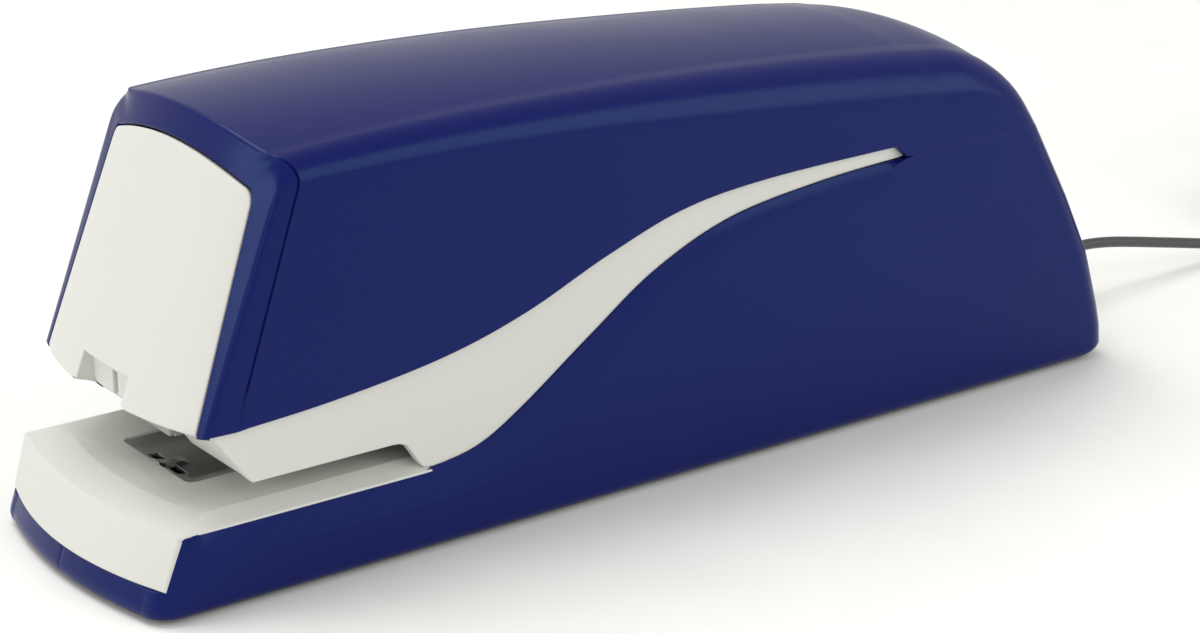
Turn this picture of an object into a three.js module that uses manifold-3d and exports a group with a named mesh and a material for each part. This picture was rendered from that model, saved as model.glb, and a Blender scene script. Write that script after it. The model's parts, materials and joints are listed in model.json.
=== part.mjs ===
// Electric stapler: pull-out staple magazine, cam-driven staple driver, battery bay and low-voltage lead.
// Millimetres, +Z up. The paper mouth faces -Y and X runs across. The origin is under the middle, on the table.
import * as THREE from "three";
import { mergeVertices } from "three/addons/utils/BufferGeometryUtils.js";
import Module from "manifold-3d";

const wasm = await Module();
wasm.setup();

// ---------- driving dimensions ----------
const HALF_WIDTH = 25.6;
const WALL = 2.0;
const GAP = 0.3; // between pieces that lie against each other
const SHELL_FOOT = 0.9; // the shells' lower edge, above the table
const SEAM_Z = 45.5; // joint between top cover and base shells, behind the band
const SEAM_GAP = 0.5;

// Bulge of the front, top and rear faces at the centreline, beyond their edges at the sides.
const FRONT_SAG = 4.0;
const TOP_SAG = 4.1;
const REAR_SAG = 2.2;

// Head front, a plane that leans back.
const HEAD_FRONT_Y = -84.0;
const HEAD_FRONT_Z = 27.5;
const HEAD_LEAN = 0.393; // set-back per unit of height
const HEAD_TOP_Z = 65.0;

// Tray, paper mouth and jaw.
const TRAY_EDGE_Z = 13.4;
const TRAY_TOP_Z = 14.7;
const JAW_Z = 18.9;
const JAW_FRONT_Y = -76.5;
const MOUTH_REAR_Y = -49.6;
const STAPLE_Y = -78.0; // line in which staples are driven

// Magazine.
const STAPLE_WIDTH = 8.5;
const CHANNEL_HALF = 5.6;
const CHANNEL_Z = 20.3;
const CHANNEL_TOP_Z = 27.0;
const CHANNEL_REAR_Y = -4;
const STRIP_REAR_Y = -47.4;

// Drive: motor, two double gears, cam gear, eccentric, lever, driver.
const DRIVER_STROKE = 12;
const CAM = { y: -28, z: 47 };
const LEVER = { y: 2, z: 40 };
const LEVER_TIP_Y = -75;
const PRESSURE_ANGLE = (25 * Math.PI) / 180;
const FINAL_STAGE = { module: 1.0, wheel: 28, pinion: 10 };
const MIDDLE_STAGE = { module: 0.9, wheel: 28, pinion: 10 };
const FIRST_STAGE = { module: 0.7, wheel: 30, pinion: 10 };
const MESH_PLAY = 0.12; // added to each gear pair's centre distance

// Batteries: four AA cells, two by two.
const CELL = { radius: 7.1, length: 49.2, x: 7.5, z: 10.9, starts: [-26, 25.7] };

// Lead: a low-voltage cord of 1.8 m.
const CORD_DIAMETER = 2.0;
const JACK_Z = 10;
const PLUG_END_Y = 112;

// ---------- materials ----------
const plastic = (color, roughness = 0.4) => new THREE.MeshStandardMaterial({ color, roughness });
const metal = (color, roughness = 0.35) => new THREE.MeshStandardMaterial({ color, roughness, metalness: 1 });
const BLUE = plastic(0x1f3a80, 0.35);
const WHITE = plastic(0xe4e4de, 0.45);
const BLACK = plastic(0x1b1c1f, 0.5);
const RUBBER = plastic(0x2a2b2e, 0.85);
const CORD_GREY = plastic(0x3a393c, 0.55);
const GEAR_WHITE = plastic(0xd9d6c8, 0.5);
const BOARD_GREEN = plastic(0x1d5a3a, 0.55);
const CELL_GREEN = plastic(0x2c6e49, 0.35);
const STEEL = metal(0xb9bcc0);
const DARK_STEEL = metal(0x7d8084, 0.45);
const BRASS = metal(0xc9a254);

// ---------- solids ----------
function solid(geometry) {
  const bare = new THREE.BufferGeometry().setAttribute("position", geometry.getAttribute("position"));
  if (geometry.index) bare.setIndex(geometry.index);
  const merged = mergeVertices(bare, 1e-4);
  return new wasm.Manifold(
    new wasm.Mesh({
      numProp: 3,
      vertProperties: new Float32Array(merged.attributes.position.array),
      triVerts: new Uint32Array(merged.index.array),
    }),
  );
}

function geometryOf(body) {
  const made = body.getMesh();
  return new THREE.BufferGeometry()
    .setAttribute("position", new THREE.BufferAttribute(made.vertProperties.slice(), 3))
    .setIndex(new THREE.BufferAttribute(made.triVerts.slice(), 1));
}

const join = (first, ...others) => others.reduce((made, other) => made.add(other), first);
const cut = (first, ...others) => others.reduce((made, other) => made.subtract(other), first);
const BETWEEN_LEFT_AND_RIGHT = new THREE.Matrix4().makeScale(-1, 1, 1);

function mirrored(body) {
  const made = geometryOf(body).toNonIndexed().applyMatrix4(BETWEEN_LEFT_AND_RIGHT);
  const position = made.getAttribute("position");
  for (let i = 0; i < position.count; i += 3) {
    const [x, y, z] = [position.getX(i), position.getY(i), position.getZ(i)];
    position.setXYZ(i, position.getX(i + 1), position.getY(i + 1), position.getZ(i + 1));
    position.setXYZ(i + 1, x, y, z);
  }
  return solid(made);
}

function block(x0, x1, y0, y1, z0, z1) {
  const box = new THREE.BoxGeometry(x1 - x0, y1 - y0, z1 - z0);
  return solid(box.translate((x0 + x1) / 2, (y0 + y1) / 2, (z0 + z1) / 2));
}

// An outline drawn in Y and Z, as pairs, given a thickness from x0 to x1.
function slabX(outline, x0, x1) {
  const shape = new THREE.Shape(outline.map(([y, z]) => new THREE.Vector2(y, z)));
  const made = new THREE.ExtrudeGeometry(shape, { depth: x1 - x0, bevelEnabled: false });
  const turn = new THREE.Matrix4().makeBasis(
    new THREE.Vector3(0, 1, 0),
    new THREE.Vector3(0, 0, 1),
    new THREE.Vector3(1, 0, 0),
  );
  return solid(made.applyMatrix4(turn).translate(x0, 0, 0));
}

// An outline drawn in X and Y, given a thickness from z0 to z1.
function slabZ(outline, z0, z1) {
  const shape = new THREE.Shape(outline.map(([x, y]) => new THREE.Vector2(x, y)));
  return solid(new THREE.ExtrudeGeometry(shape, { depth: z1 - z0, bevelEnabled: false }).translate(0, 0, z0));
}

// An outline drawn in X and Z, given a thickness from y0 to y1.
function slabY(outline, y0, y1) {
  const shape = new THREE.Shape(outline.map(([x, z]) => new THREE.Vector2(x, z)));
  const made = new THREE.ExtrudeGeometry(shape, { depth: y1 - y0, bevelEnabled: false });
  return solid(made.rotateX(Math.PI / 2).translate(0, y1, 0));
}

// Round bars along each axis; the two numbers after the radius are the bar's centre across its axis.
function barX(radius, y, z, x0, x1, sides = 20) {
  const made = new THREE.CylinderGeometry(radius, radius, x1 - x0, sides).rotateZ(Math.PI / 2);
  return solid(made.translate((x0 + x1) / 2, y, z));
}
function barY(radius, x, z, y0, y1, sides = 20, farRadius = radius) {
  const made = new THREE.CylinderGeometry(farRadius, radius, y1 - y0, sides);
  return solid(made.translate(x, (y0 + y1) / 2, z));
}
function barZ(radius, x, y, z0, z1, sides = 20) {
  const made = new THREE.CylinderGeometry(radius, radius, z1 - z0, sides).rotateX(Math.PI / 2);
  return solid(made.translate(x, y, (z0 + z1) / 2));
}

// A round bar on any curve.
function tube(curve, radius, sides, steps) {
  const section = Array.from({ length: sides }, (_, i) => {
    const a = (2 * Math.PI * i) / sides;
    return new THREE.Vector2(radius * Math.cos(a), radius * Math.sin(a));
  });
  return solid(new THREE.ExtrudeGeometry(new THREE.Shape(section), { steps, extrudePath: curve }));
}

const spline = (points, divisions) =>
  new THREE.SplineCurve(points.map(([y, z]) => new THREE.Vector2(y, z)))
    .getPoints(divisions)
    .map((p) => [p.x, p.y]);

// ---------- the curves on the side ----------
// Upper and lower edge of the white band that sweeps from the jaw up to the seam, as Y and Z.
const BAND_UPPER = [
  [-84, 27.5], [-64, 28.6], [-44, 31.1], [-29, 35.0], [-14, 40.9], [1, 45.6], [18, 47.4], [44, 47.8],
];
const BAND_LOWER = [
  [-47.3, TRAY_EDGE_Z], [-38, 14.9], [-29.7, 19.2], [-16.2, 28.4], [-4, 36.3], [10.7, 42], [28.8, 44.5],
  [46.4, SEAM_Z],
];
const bandUpper = spline(BAND_UPPER, 18);
const bandLower = spline(BAND_LOWER, 16);
const raised = (points, by) => points.map(([y, z]) => [y, z + by]);

// ---------- the outer form ----------
// The form is an outline in Y and Z with faces that bulge towards the middle and are rounded at the sides.
// Each point: y, z, bulge and the radius of the rounding towards the side.
const headFrontY = (z) => HEAD_FRONT_Y + HEAD_LEAN * (z - HEAD_FRONT_Z);
const TOP_EDGE = [
  [headFrontY(HEAD_TOP_Z), HEAD_TOP_Z], [-43, 65.6], [-10, 64.6], [25, 62.1], [52, 59.5], [63, 57.8],
  [71, 53.2], [76.6, 45.6],
];
const REAR_EDGE = [
  [76.6, 45.6], [84.5, 31.6], [90.2, 20], [93.9, 8], [94.8, 3.1],
];

function formPoints() {
  const front = [16, 27.5, 40, 53].map((z) => [headFrontY(z), z, FRONT_SAG, 4.5]);
  const top = spline(TOP_EDGE, 18).map(([y, z], i) => [y, z, i < 14 ? TOP_SAG : TOP_SAG - (i - 13) * 0.38, 3 + i / 6]);
  const rear = spline(REAR_EDGE, 6).slice(1).map(([y, z]) => [y, z, REAR_SAG, 3.5]);
  return [...front, ...top, ...rear, [94.2, 0.3, REAR_SAG, 3.5], [93, -6, REAR_SAG, 3.5], [-80, -6, 0, 3.5]];
}

function baseFormPoints() {
  const front = [
    [-93, -6, 0, 4.5], [-93, SHELL_FOOT, FRONT_SAG, 4.5], [-91.4, 5.4, FRONT_SAG, 4.5],
    [-88.8, TRAY_EDGE_Z, FRONT_SAG, 4.5], [-85, 24, FRONT_SAG, 4.5],
  ];
  const rear = spline(REAR_EDGE, 6).map(([y, z]) => [y, z, REAR_SAG, 3.5]);
  return [...front, [60, 60, 0, 3.5], ...rear, [94.2, 0.3, REAR_SAG, 3.5], [93, -6, REAR_SAG, 3.5]];
}

// Outward direction at each point of a closed outline that runs clockwise seen from +X.
function outwardAt(points, i) {
  const [before, after] = [points[(i + points.length - 1) % points.length], points[(i + 1) % points.length]];
  const along = new THREE.Vector2(after[0] - before[0], after[1] - before[1]).normalize();
  return new THREE.Vector2(-along.y, along.x);
}

// The closed form, drawn in by inset all round.
function form(points, inset = 0) {
  const half = HALF_WIDTH - inset;
  const flatShares = [0, 0.35, 0.7, 1];
  const turnShares = [1 / 3, 2 / 3, 1];
  const rows = points.map(([y, z, sag, fillet], i) => {
    const out = outwardAt(points, i);
    const radius = Math.max(fillet - inset, 0.6);
    const bulge = (x) => sag * (1 - (x / HALF_WIDTH) ** 2) - inset;
    const flat = flatShares.map((s) => [s * (half - radius), bulge(s * (half - radius))]);
    const turn = turnShares.map((s) => {
      const a = (s * Math.PI) / 2;
      return [half - radius * (1 - Math.sin(a)), bulge(half - radius) - radius * (1 - Math.cos(a))];
    });
    const right = [...flat, ...turn].map(([x, off]) => [x, y + off * out.x, z + off * out.y]);
    const left = right.slice(1).reverse().map(([x, yy, zz]) => [-x, yy, zz]);
    return [...left, ...right];
  });
  const across = rows[0].length;
  const position = rows.flat(2);
  const index = [];
  rows.forEach((_, i) => {
    const j = (i + 1) % rows.length;
    for (let k = 0; k < across - 1; k++) {
      const [a, b, c, d] = [i * across + k, i * across + k + 1, j * across + k + 1, j * across + k];
      index.push(a, b, c, a, c, d);
    }
  });
  for (const side of [0, across - 1]) {
    const rim = rows.map((row) => new THREE.Vector2(row[side][1], row[side][2]));
    THREE.ShapeUtils.triangulateShape(rim, []).forEach(([a, b, c]) => {
      const [p, q, r] = side ? [a, b, c] : [a, c, b];
      index.push(p * across + side, q * across + side, r * across + side);
    });
  }
  const geometry = new THREE.BufferGeometry();
  geometry.setAttribute("position", new THREE.Float32BufferAttribute(position, 3)).setIndex(index);
  const made = solid(geometry);
  return made.volume() > 0 ? made : solid(reversed(geometry));
}

function reversed(geometry) {
  const index = [...geometry.index.array];
  for (let i = 0; i < index.length; i += 3) [index[i], index[i + 1]] = [index[i + 1], index[i]];
  return geometry.setIndex(index);
}

const BEYOND = 40; // reaches past the body, for cutting tools
const upperForm = form(formPoints());
const upperHollow = form(formPoints(), WALL);
const baseForm = form(baseFormPoints());
const baseHollow = form(baseFormPoints(), WALL);

// Everything over the band and seam, and everything under them.
const overBand = slabX(
  [...raised(bandUpper, GAP / 2), [46.6, SEAM_Z + SEAM_GAP], [120, SEAM_Z + SEAM_GAP], [120, 90], [-120, 90], [-120, 27.3]],
  -BEYOND,
  BEYOND,
);
const underBand = slabX(
  [
    [-120, -9], [120, -9], [120, SEAM_Z], [46.4, SEAM_Z], ...raised(bandLower, -GAP / 2).reverse(),
    [-120, TRAY_EDGE_Z - GAP / 2],
  ],
  -BEYOND,
  BEYOND,
);

const group = new THREE.Group();
function piece(name, body, material) {
  const mesh = new THREE.Mesh(geometryOf(body), material);
  mesh.name = name;
  group.add(mesh);
}

// ---------- front panel of the magazine, and its opening in the cover ----------
// The panel widens downwards and has a curved top. The grow value gives the opening around it.
const PANEL = { bottomZ: 27.5, bottomHalf: 25, topHalf: 22.5, cornerZ: 61, crownZ: 64.5, proud: 0.7, thick: 2.4 };
function panelOutline(grow) {
  const corners = [[PANEL.bottomHalf + grow, PANEL.bottomZ - 0.1], [PANEL.topHalf + grow, PANEL.cornerZ]];
  const shares = [0.6, 0.2, -0.2, -0.6];
  const crown = shares.map((s) => [
    s * PANEL.topHalf,
    PANEL.crownZ + grow - (PANEL.crownZ - PANEL.cornerZ) * s * s,
  ]);
  return [...corners, ...crown, [-corners[1][0], corners[1][1]], [-corners[0][0], corners[0][1]]];
}

// All that lies in front of a plane set back from the head front by the given distance.
const aheadOfFront = (setBack) =>
  slabX([[-120, 27.2], [headFrontY(27.2) + setBack, 27.2], [headFrontY(80) + setBack, 80], [-120, 80]], -30, 30);
const panelPrism = (outline) => slabY(outline, -110, -56);

const PANEL_BACK = 1.6; // how far the panel's sides reach behind the head front
const NOTCH = { half: 7.9, topZ: 32.2 };
function frontPanel() {
  const skin = cut(form(formPoints(), -PANEL.proud), form(formPoints(), PANEL.thick - PANEL.proud));
  const face = skin.intersect(panelPrism(panelOutline(-GAP))).intersect(aheadOfFront(PANEL_BACK));
  return cut(face, block(-NOTCH.half, NOTCH.half, -99, -60, 20, NOTCH.topZ), block(-30, 30, -99, -60, 10, PANEL.bottomZ));
}

// ---------- shells ----------
function topCover() {
  const shell = cut(upperForm, upperHollow).intersect(overBand);
  return cut(shell, panelPrism(panelOutline(0)).intersect(aheadOfFront(PANEL_BACK + GAP)));
}

function baseShell() {
  const shell = cut(baseForm, baseHollow).intersect(underBand);
  const half = shell.intersect(block(GAP / 2, 30, -110, 110, SHELL_FOOT, 60));
  const trayFront = block(0, TRAY.half + GAP, -110, -84, TRAY.faceFootZ - GAP, 30);
  const trayRim = block(0, TRAY.half + GAP, -110, TRAY.rearY + GAP, TRAY.rimZ - GAP, 30);
  const jackHole = barY(5.2, 0, JACK_Z, 80, 110);
  const buttonHole = barY(BUTTON.radius + GAP, 0, BUTTON.z, 80, 110);
  const bosses = SCREWS.filter(([x]) => x > 0).map(screwBoss);
  const threads = SCREWS.filter(([x]) => x > 0).map(([x, y]) => barZ(SCREW_R + GAP, x, y, 0, 9.6, 12));
  return cut(join(half, ...bosses), trayFront, trayRim, jackHole, buttonHole, ...threads);
}
// A boss for a base screw, with a web that ties it to the side wall.
const screwBoss = ([x, y]) => join(barZ(2.4, x, y, 3.5, 12, 14), block(x, 24.6, y - 0.6, y + 0.6, 3.5, 12));

// The tray: a front face, a raised middle and a sloped rim, over a hollow underside.
const TRAY = { half: 24.6, faceFootZ: 5.5, rimZ: 11.2, rearY: -46, rimWidth: 3.2 };
function paperTray() {
  const side = [
    [-110, TRAY.faceFootZ], [-110, TRAY_EDGE_Z], [-90.6, TRAY_EDGE_Z], [-85.5, TRAY_TOP_Z],
    [TRAY.rearY, TRAY_TOP_Z], [TRAY.rearY, TRAY.rimZ], [-84.6, TRAY.rimZ], [-86, TRAY.faceFootZ],
  ];
  const body = slabX(side, -TRAY.half, TRAY.half).intersect(form(baseFormPoints(), 0.2));
  const rimSlope = (way) => {
    const [edge, plateau] = [TRAY.half * way, (TRAY.half - TRAY.rimWidth) * way];
    const outline = [[plateau, TRAY_TOP_Z], [edge, TRAY_EDGE_Z], [30 * way, TRAY_EDGE_Z], [30 * way, 20], [plateau, 20]];
    return slabY(way > 0 ? outline.reverse() : outline, -110, -40);
  };
  const anvilRecess = block(-ANVIL.half - GAP, ANVIL.half + GAP, ANVIL.frontY - GAP, ANVIL.rearY + GAP, ANVIL.z, 20);
  const feelerGroove = block(FEELER.x0 - 0.6, FEELER.x1 + 0.6, -67, -57, 13.2, 20);
  return cut(body, rimSlope(1), rimSlope(-1), anvilRecess, feelerGroove);
}

// ---------- anvil ----------
const ANVIL = { half: 10.6, frontY: -79.6, rearY: -66, z: 12.9, top: 14.5 };
function anvilPlate() {
  const plate = block(-ANVIL.half, ANVIL.half, ANVIL.frontY, ANVIL.rearY, ANVIL.z + GAP, ANVIL.top);
  const pocket = (x) => block(x - 1.9, x + 1.9, STAPLE_Y - 0.8, STAPLE_Y + 0.8, 14.0, 20);
  return cut(plate, pocket(-2.3), pocket(2.3));
}

// ---------- middle housing: band, jaw sides and jaw floor ----------
const BAND_OUT = 24.4; // outer face of the white band
const BAND_IN = 23.2;
const SKIN_IN = 21.6; // inner face of the housing's side
function housingOutline() {
  const jaw = [[JAW_FRONT_Y, JAW_Z], [-51.6, JAW_Z], [-49.4, 17.2], [-47.6, TRAY_EDGE_Z + 0.8]];
  return [...jaw, ...raised(bandLower.slice(1, -1), GAP / 2), [43.6, 47.4], ...raised(bandUpper, -GAP / 2).reverse()];
}
function middleHousing() {
  const outline = housingOutline();
  const visible = slabX(outline, BAND_IN - 0.1, BAND_OUT);
  const backing = slabX(
    [
      [-76, 20], [-48, 20], [-46, 21], [-30, 26], [-16.2, 32], [-4, 38], [24, 43.2], [44, 45],
      [44, 50.5], [18, 50], [1, 48.4], [-14, 43.8], [-29, 38], [-44, 34], [-64, 31.5], [-79, 30.2],
    ],
    SKIN_IN,
    BAND_IN,
  );
  const noseOut = [JAW_FRONT_Y, JAW_Z];
  const nose = slabX([[-83.2, 27.1], noseOut, [JAW_FRONT_Y + 2, JAW_Z], [-81.2, 27.1]], 11, BAND_OUT);
  const floor = slabX([noseOut, [MOUTH_REAR_Y, JAW_Z], [MOUTH_REAR_Y, 20], [-77.2, 20]], GAP / 2, BAND_OUT);
  const stop = block(GAP / 2, BAND_OUT, MOUTH_REAR_Y, MOUTH_REAR_Y + 1.6, 15.2, 20);
  const staplePath = block(-6.2, 6.2, -80, -74.5, 15, 22);
  const feelerSlot = block(FEELER.x0 - 0.7, FEELER.x1 + 0.7, -69, -56.5, 15, 22);
  const panelRoom = aheadOfFront(PANEL_BACK + GAP);
  return cut(join(visible, backing, nose, floor, stop), staplePath, feelerSlot, panelRoom);
}

// ---------- magazine ----------
const NOSE_PLATE = { half: 10.4, frontY: -83.8, rearY: -79.1, bottomZ: 21.0, topZ: 34 };
function nosePlate() {
  const plate = block(
    -NOSE_PLATE.half, NOSE_PLATE.half, NOSE_PLATE.frontY, NOSE_PLATE.rearY, NOSE_PLATE.bottomZ, NOSE_PLATE.topZ,
  );
  const slit = block(-0.6, 0.6, NOSE_PLATE.frontY - 1, NOSE_PLATE.frontY + 1.6, 27.8, NOSE_PLATE.topZ + 1);
  const under = slabX([[-90, 20], [NOSE_PLATE.frontY, 27], [-78, 20.2]], -20, 20);
  const clearOfPanel = form(formPoints(), PANEL.thick - PANEL.proud + GAP);
  return cut(plate, slit, under).intersect(clearOfPanel);
}

function magazineChannel() {
  const front = STAPLE_Y - 0.8;
  const outer = block(-CHANNEL_HALF, CHANNEL_HALF, front, CHANNEL_REAR_Y, CHANNEL_Z, CHANNEL_TOP_Z);
  const inner = block(-CHANNEL_HALF + 0.9, CHANNEL_HALF - 0.9, front - 1, CHANNEL_REAR_Y - 1.2, CHANNEL_Z + 0.8, 40);
  const exit = block(-CHANNEL_HALF + 0.9, CHANNEL_HALF - 0.9, front - 1, STAPLE_Y + 0.5, 10, 40);
  const catchWall = block(-CHANNEL_HALF, CHANNEL_HALF, CHANNEL_REAR_Y - 1.2, CHANNEL_REAR_Y, CHANNEL_TOP_Z - 1, 29);
  return join(cut(outer, inner, exit), catchWall);
}

function stapleStrip() {
  const half = STAPLE_WIDTH / 2;
  const outer = block(-half, half, STAPLE_Y + 0.6, STRIP_REAR_Y, CHANNEL_Z + 1.1, CHANNEL_TOP_Z - 0.5);
  return cut(outer, block(-half + 0.5, half - 0.5, -90, -40, 10, CHANNEL_TOP_Z - 1));
}

const PUSHER = { y0: -47.1, y1: -38.6 };
function staplePusher() {
  const body = block(-4.3, 4.3, PUSHER.y0, PUSHER.y1, CHANNEL_Z + 1.1, CHANNEL_TOP_Z - 0.3);
  const grip = block(-2, 2, PUSHER.y0 + 2, PUSHER.y1 - 2, CHANNEL_TOP_Z - 0.4, CHANNEL_TOP_Z + 0.5);
  return join(body, grip);
}

class Helix extends THREE.Curve {
  constructor(radius, from, to, turns, z) {
    super();
    Object.assign(this, { radius, from, to, turns, z });
  }
  getPoint(t, target = new THREE.Vector3()) {
    const a = 2 * Math.PI * this.turns * t;
    return target.set(
      this.radius * Math.cos(a),
      this.from + (this.to - this.from) * t,
      this.z + this.radius * Math.sin(a),
    );
  }
}
const PUSHER_SPRING = { radius: 1.9, wire: 0.3, turns: 11, z: 24.2 };
function pusherSpring() {
  const { radius, wire, turns, z } = PUSHER_SPRING;
  const curve = new Helix(radius, PUSHER.y1 + 0.7, CHANNEL_REAR_Y - 2, turns, z);
  return tube(curve, wire, 5, turns * 9);
}

// ---------- drive ----------
// Involute gear outline about the origin, as pairs. The turn is in tooth pitches.
function gearOutline(teeth, module, turn) {
  const pitch = (module * teeth) / 2;
  const base = pitch * Math.cos(PRESSURE_ANGLE);
  const tip = pitch + 0.8 * module;
  const root = pitch - 1.1 * module;
  const halfThick = (0.43 * Math.PI) / teeth; // tooth's half angle at the pitch circle, with backlash
  const spread = (r) => {
    const a = Math.acos(Math.min(1, base / Math.max(r, base)));
    return Math.tan(a) - a;
  };
  const halfAt = (r) => halfThick + spread(pitch) - spread(r);
  const radii = [root, Math.max(base, root + 0.2 * module), pitch + 0.1 * module, tip];
  const points = [];
  for (let i = 0; i < teeth; i++) {
    const middle = (2 * Math.PI * (i + turn)) / teeth;
    radii.forEach((r) => points.push([r, middle - halfAt(r)]));
    [...radii].reverse().forEach((r) => points.push([r, middle + halfAt(r)]));
  }
  return points.map(([r, a]) => [r * Math.cos(a), r * Math.sin(a)]);
}

function gear(teeth, module, turn, at, x0, x1) {
  return slabX(gearOutline(teeth, module, turn).map(([y, z]) => [y + at.y, z + at.z]), x0, x1);
}

// The next shaft's centre, at an angle in degrees from +Y towards +Z.
function nextShaft(from, stage, degrees) {
  const distance = (stage.module * (stage.wheel + stage.pinion)) / 2 + MESH_PLAY;
  const a = (degrees * Math.PI) / 180;
  return { y: from.y + distance * Math.cos(a), z: from.z + distance * Math.sin(a), angle: a };
}
const SHAFT_2 = nextShaft(CAM, FINAL_STAGE, -12);
const SHAFT_1 = nextShaft(SHAFT_2, MIDDLE_STAGE, 0);
const MOTOR = nextShaft(SHAFT_1, FIRST_STAGE, 0);

// Turns, in pitches, that put a tooth of one wheel and a gap of its mate on the line between their centres.
const toothTowards = (angle, teeth) => (angle * teeth) / (2 * Math.PI);
const gapTowards = (angle, teeth) => toothTowards(angle, teeth) + 0.5;

const INNER_ROW = [14.2, 17.8]; // X span of the cam gear and what meshes with it
const OUTER_ROW = [18.3, 20.9];
const AXLE_R = 1.5;
const BORE_R = 1.55;

function camGear() {
  const { wheel, module } = FINAL_STAGE;
  const teeth = gear(wheel, module, toothTowards(SHAFT_2.angle, wheel), CAM, ...INNER_ROW);
  return cut(teeth, barX(3.05, CAM.y, CAM.z, 0, 30));
}
function doubleGear(at, small, smallX, big, bigX) {
  const [pinion, wheel] = [gear(...small, at, ...smallX), gear(...big, at, ...bigX)];
  const hub = barX(3.4, at.y, at.z, INNER_ROW[0], OUTER_ROW[1], 16);
  return cut(join(wheel, pinion, hub), barX(BORE_R, at.y, at.z, 0, 40, 16));
}
function secondGear() {
  const small = [FINAL_STAGE.pinion, FINAL_STAGE.module, gapTowards(SHAFT_2.angle + Math.PI, FINAL_STAGE.pinion)];
  const big = [MIDDLE_STAGE.wheel, MIDDLE_STAGE.module, toothTowards(SHAFT_1.angle, MIDDLE_STAGE.wheel)];
  return doubleGear(SHAFT_2, small, INNER_ROW, big, OUTER_ROW);
}
function firstGear() {
  const small = [MIDDLE_STAGE.pinion, MIDDLE_STAGE.module, gapTowards(SHAFT_1.angle + Math.PI, MIDDLE_STAGE.pinion)];
  const big = [FIRST_STAGE.wheel, FIRST_STAGE.module, toothTowards(MOTOR.angle, FIRST_STAGE.wheel)];
  return doubleGear(SHAFT_1, small, OUTER_ROW, big, INNER_ROW);
}
function motorPinion() {
  const { pinion, module } = FIRST_STAGE;
  const teeth = gear(pinion, module, gapTowards(MOTOR.angle + Math.PI, pinion), MOTOR, ...INNER_ROW);
  return join(teeth, barX(1.0, MOTOR.y, MOTOR.z, FRAME_IN - 1.6, 18.4, 12));
}

// The eccentric lifts and lowers the lever through a window that leaves it room to spare.
const LEVER_ARM = LEVER.y - LEVER_TIP_Y;
const CAM_LIFT = (DRIVER_STROKE * (LEVER.y - CAM.y)) / LEVER_ARM;
const DISC_R = 7;
const WINDOW_PLAY = 0.9;
const camDisc = () =>
  cut(barX(DISC_R, CAM.y, CAM.z + CAM_LIFT / 2, -5.4, 5.4, 28), barX(3.05, CAM.y, CAM.z, -20, 20));
const camShaft = () => barX(3.0, CAM.y, CAM.z, -14.6, 18.6);

function driveLever() {
  const top = CAM.z + CAM_LIFT / 2 + DISC_R + WINDOW_PLAY;
  const bottom = CAM.z + CAM_LIFT / 2 - DISC_R - WINDOW_PLAY;
  const reach = DISC_R + CAM_LIFT / 2 + 0.8;
  const outline = [
    [7, 36.5], [7, 43.5], [-12, 54], [-17, top + 3], [-39, top + 3], [-42, 52], [-71, 45.2], [-71, 40.4],
    [-42, 42], [-39, bottom - 3], [-17, bottom - 3], [-10, 37], [-3, 35.2], [3, 35.2],
  ];
  const body = slabX(outline, -6, 6);
  const tongue = block(-2.6, 2.6, LEVER_TIP_Y - 1, -70, 41.4, 43.6);
  const window = block(-20, 20, CAM.y - reach, CAM.y + reach, bottom, top);
  return cut(join(body, tongue), window, barX(2.05, LEVER.y, LEVER.z, -20, 20));
}

function driverBlade() {
  return block(-STAPLE_WIDTH / 2, STAPLE_WIDTH / 2, STAPLE_Y - 0.3, STAPLE_Y + 0.3, 28.4, 44.4);
}
function driverHolder() {
  const body = block(-6.5, 6.5, STAPLE_Y + 0.6, -72.6, 39.2, 46);
  return cut(body, block(-3.2, 3.2, STAPLE_Y + 1.4, -70, 40.4, 44.6));
}

// ---------- frame ----------
const FRAME_IN = 12.0;
const FRAME_OUT = 13.3;
function frameOutline(rearY) {
  return [
    [-74.2, 20.4], [rearY, 20.4], [rearY, 56], [rearY - 6, 58.5], [-44, 58.5], [-58, 52], [-72.6, 50], [-74.2, 46],
  ];
}
function framePlate(rearY) {
  const plate = slabX(frameOutline(rearY), FRAME_IN, FRAME_OUT);
  return cut(plate, barX(3.1, CAM.y, CAM.z, 0, 30), barX(2.1, LEVER.y, LEVER.z, 0, 30));
}
// The gears turn on two studs riveted into the right-hand plate, which also carries the motor.
const gearStud = (at) => barX(AXLE_R, at.y, at.z, FRAME_IN, OUTER_ROW[1] + 0.6, 16);
const rightFrame = () =>
  join(cut(framePlate(33), barX(3.4, MOTOR.y, MOTOR.z, 0, 30)), gearStud(SHAFT_1), gearStud(SHAFT_2));
const spacerBar = (y, z) => barX(1.8, y, z, -FRAME_IN + GAP, FRAME_IN - GAP, 12);

// ---------- motor ----------
const MOTOR_R = 11.8;
function motorCan() {
  const can = barX(MOTOR_R, MOTOR.y, MOTOR.z, -15, FRAME_IN - GAP, 28);
  const flats = (z0, z1) => block(-20, 20, MOTOR.y - 15, MOTOR.y + 15, z0, z1);
  const front = barX(2.6, MOTOR.y, MOTOR.z, FRAME_IN - 2, 30);
  const endBell = barX(9.4, MOTOR.y, MOTOR.z, -18.2, -14, 24);
  return cut(join(can, endBell), flats(MOTOR.z + 9.8, MOTOR.z + 20), flats(MOTOR.z - 20, MOTOR.z - 9.8), front);
}

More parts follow.
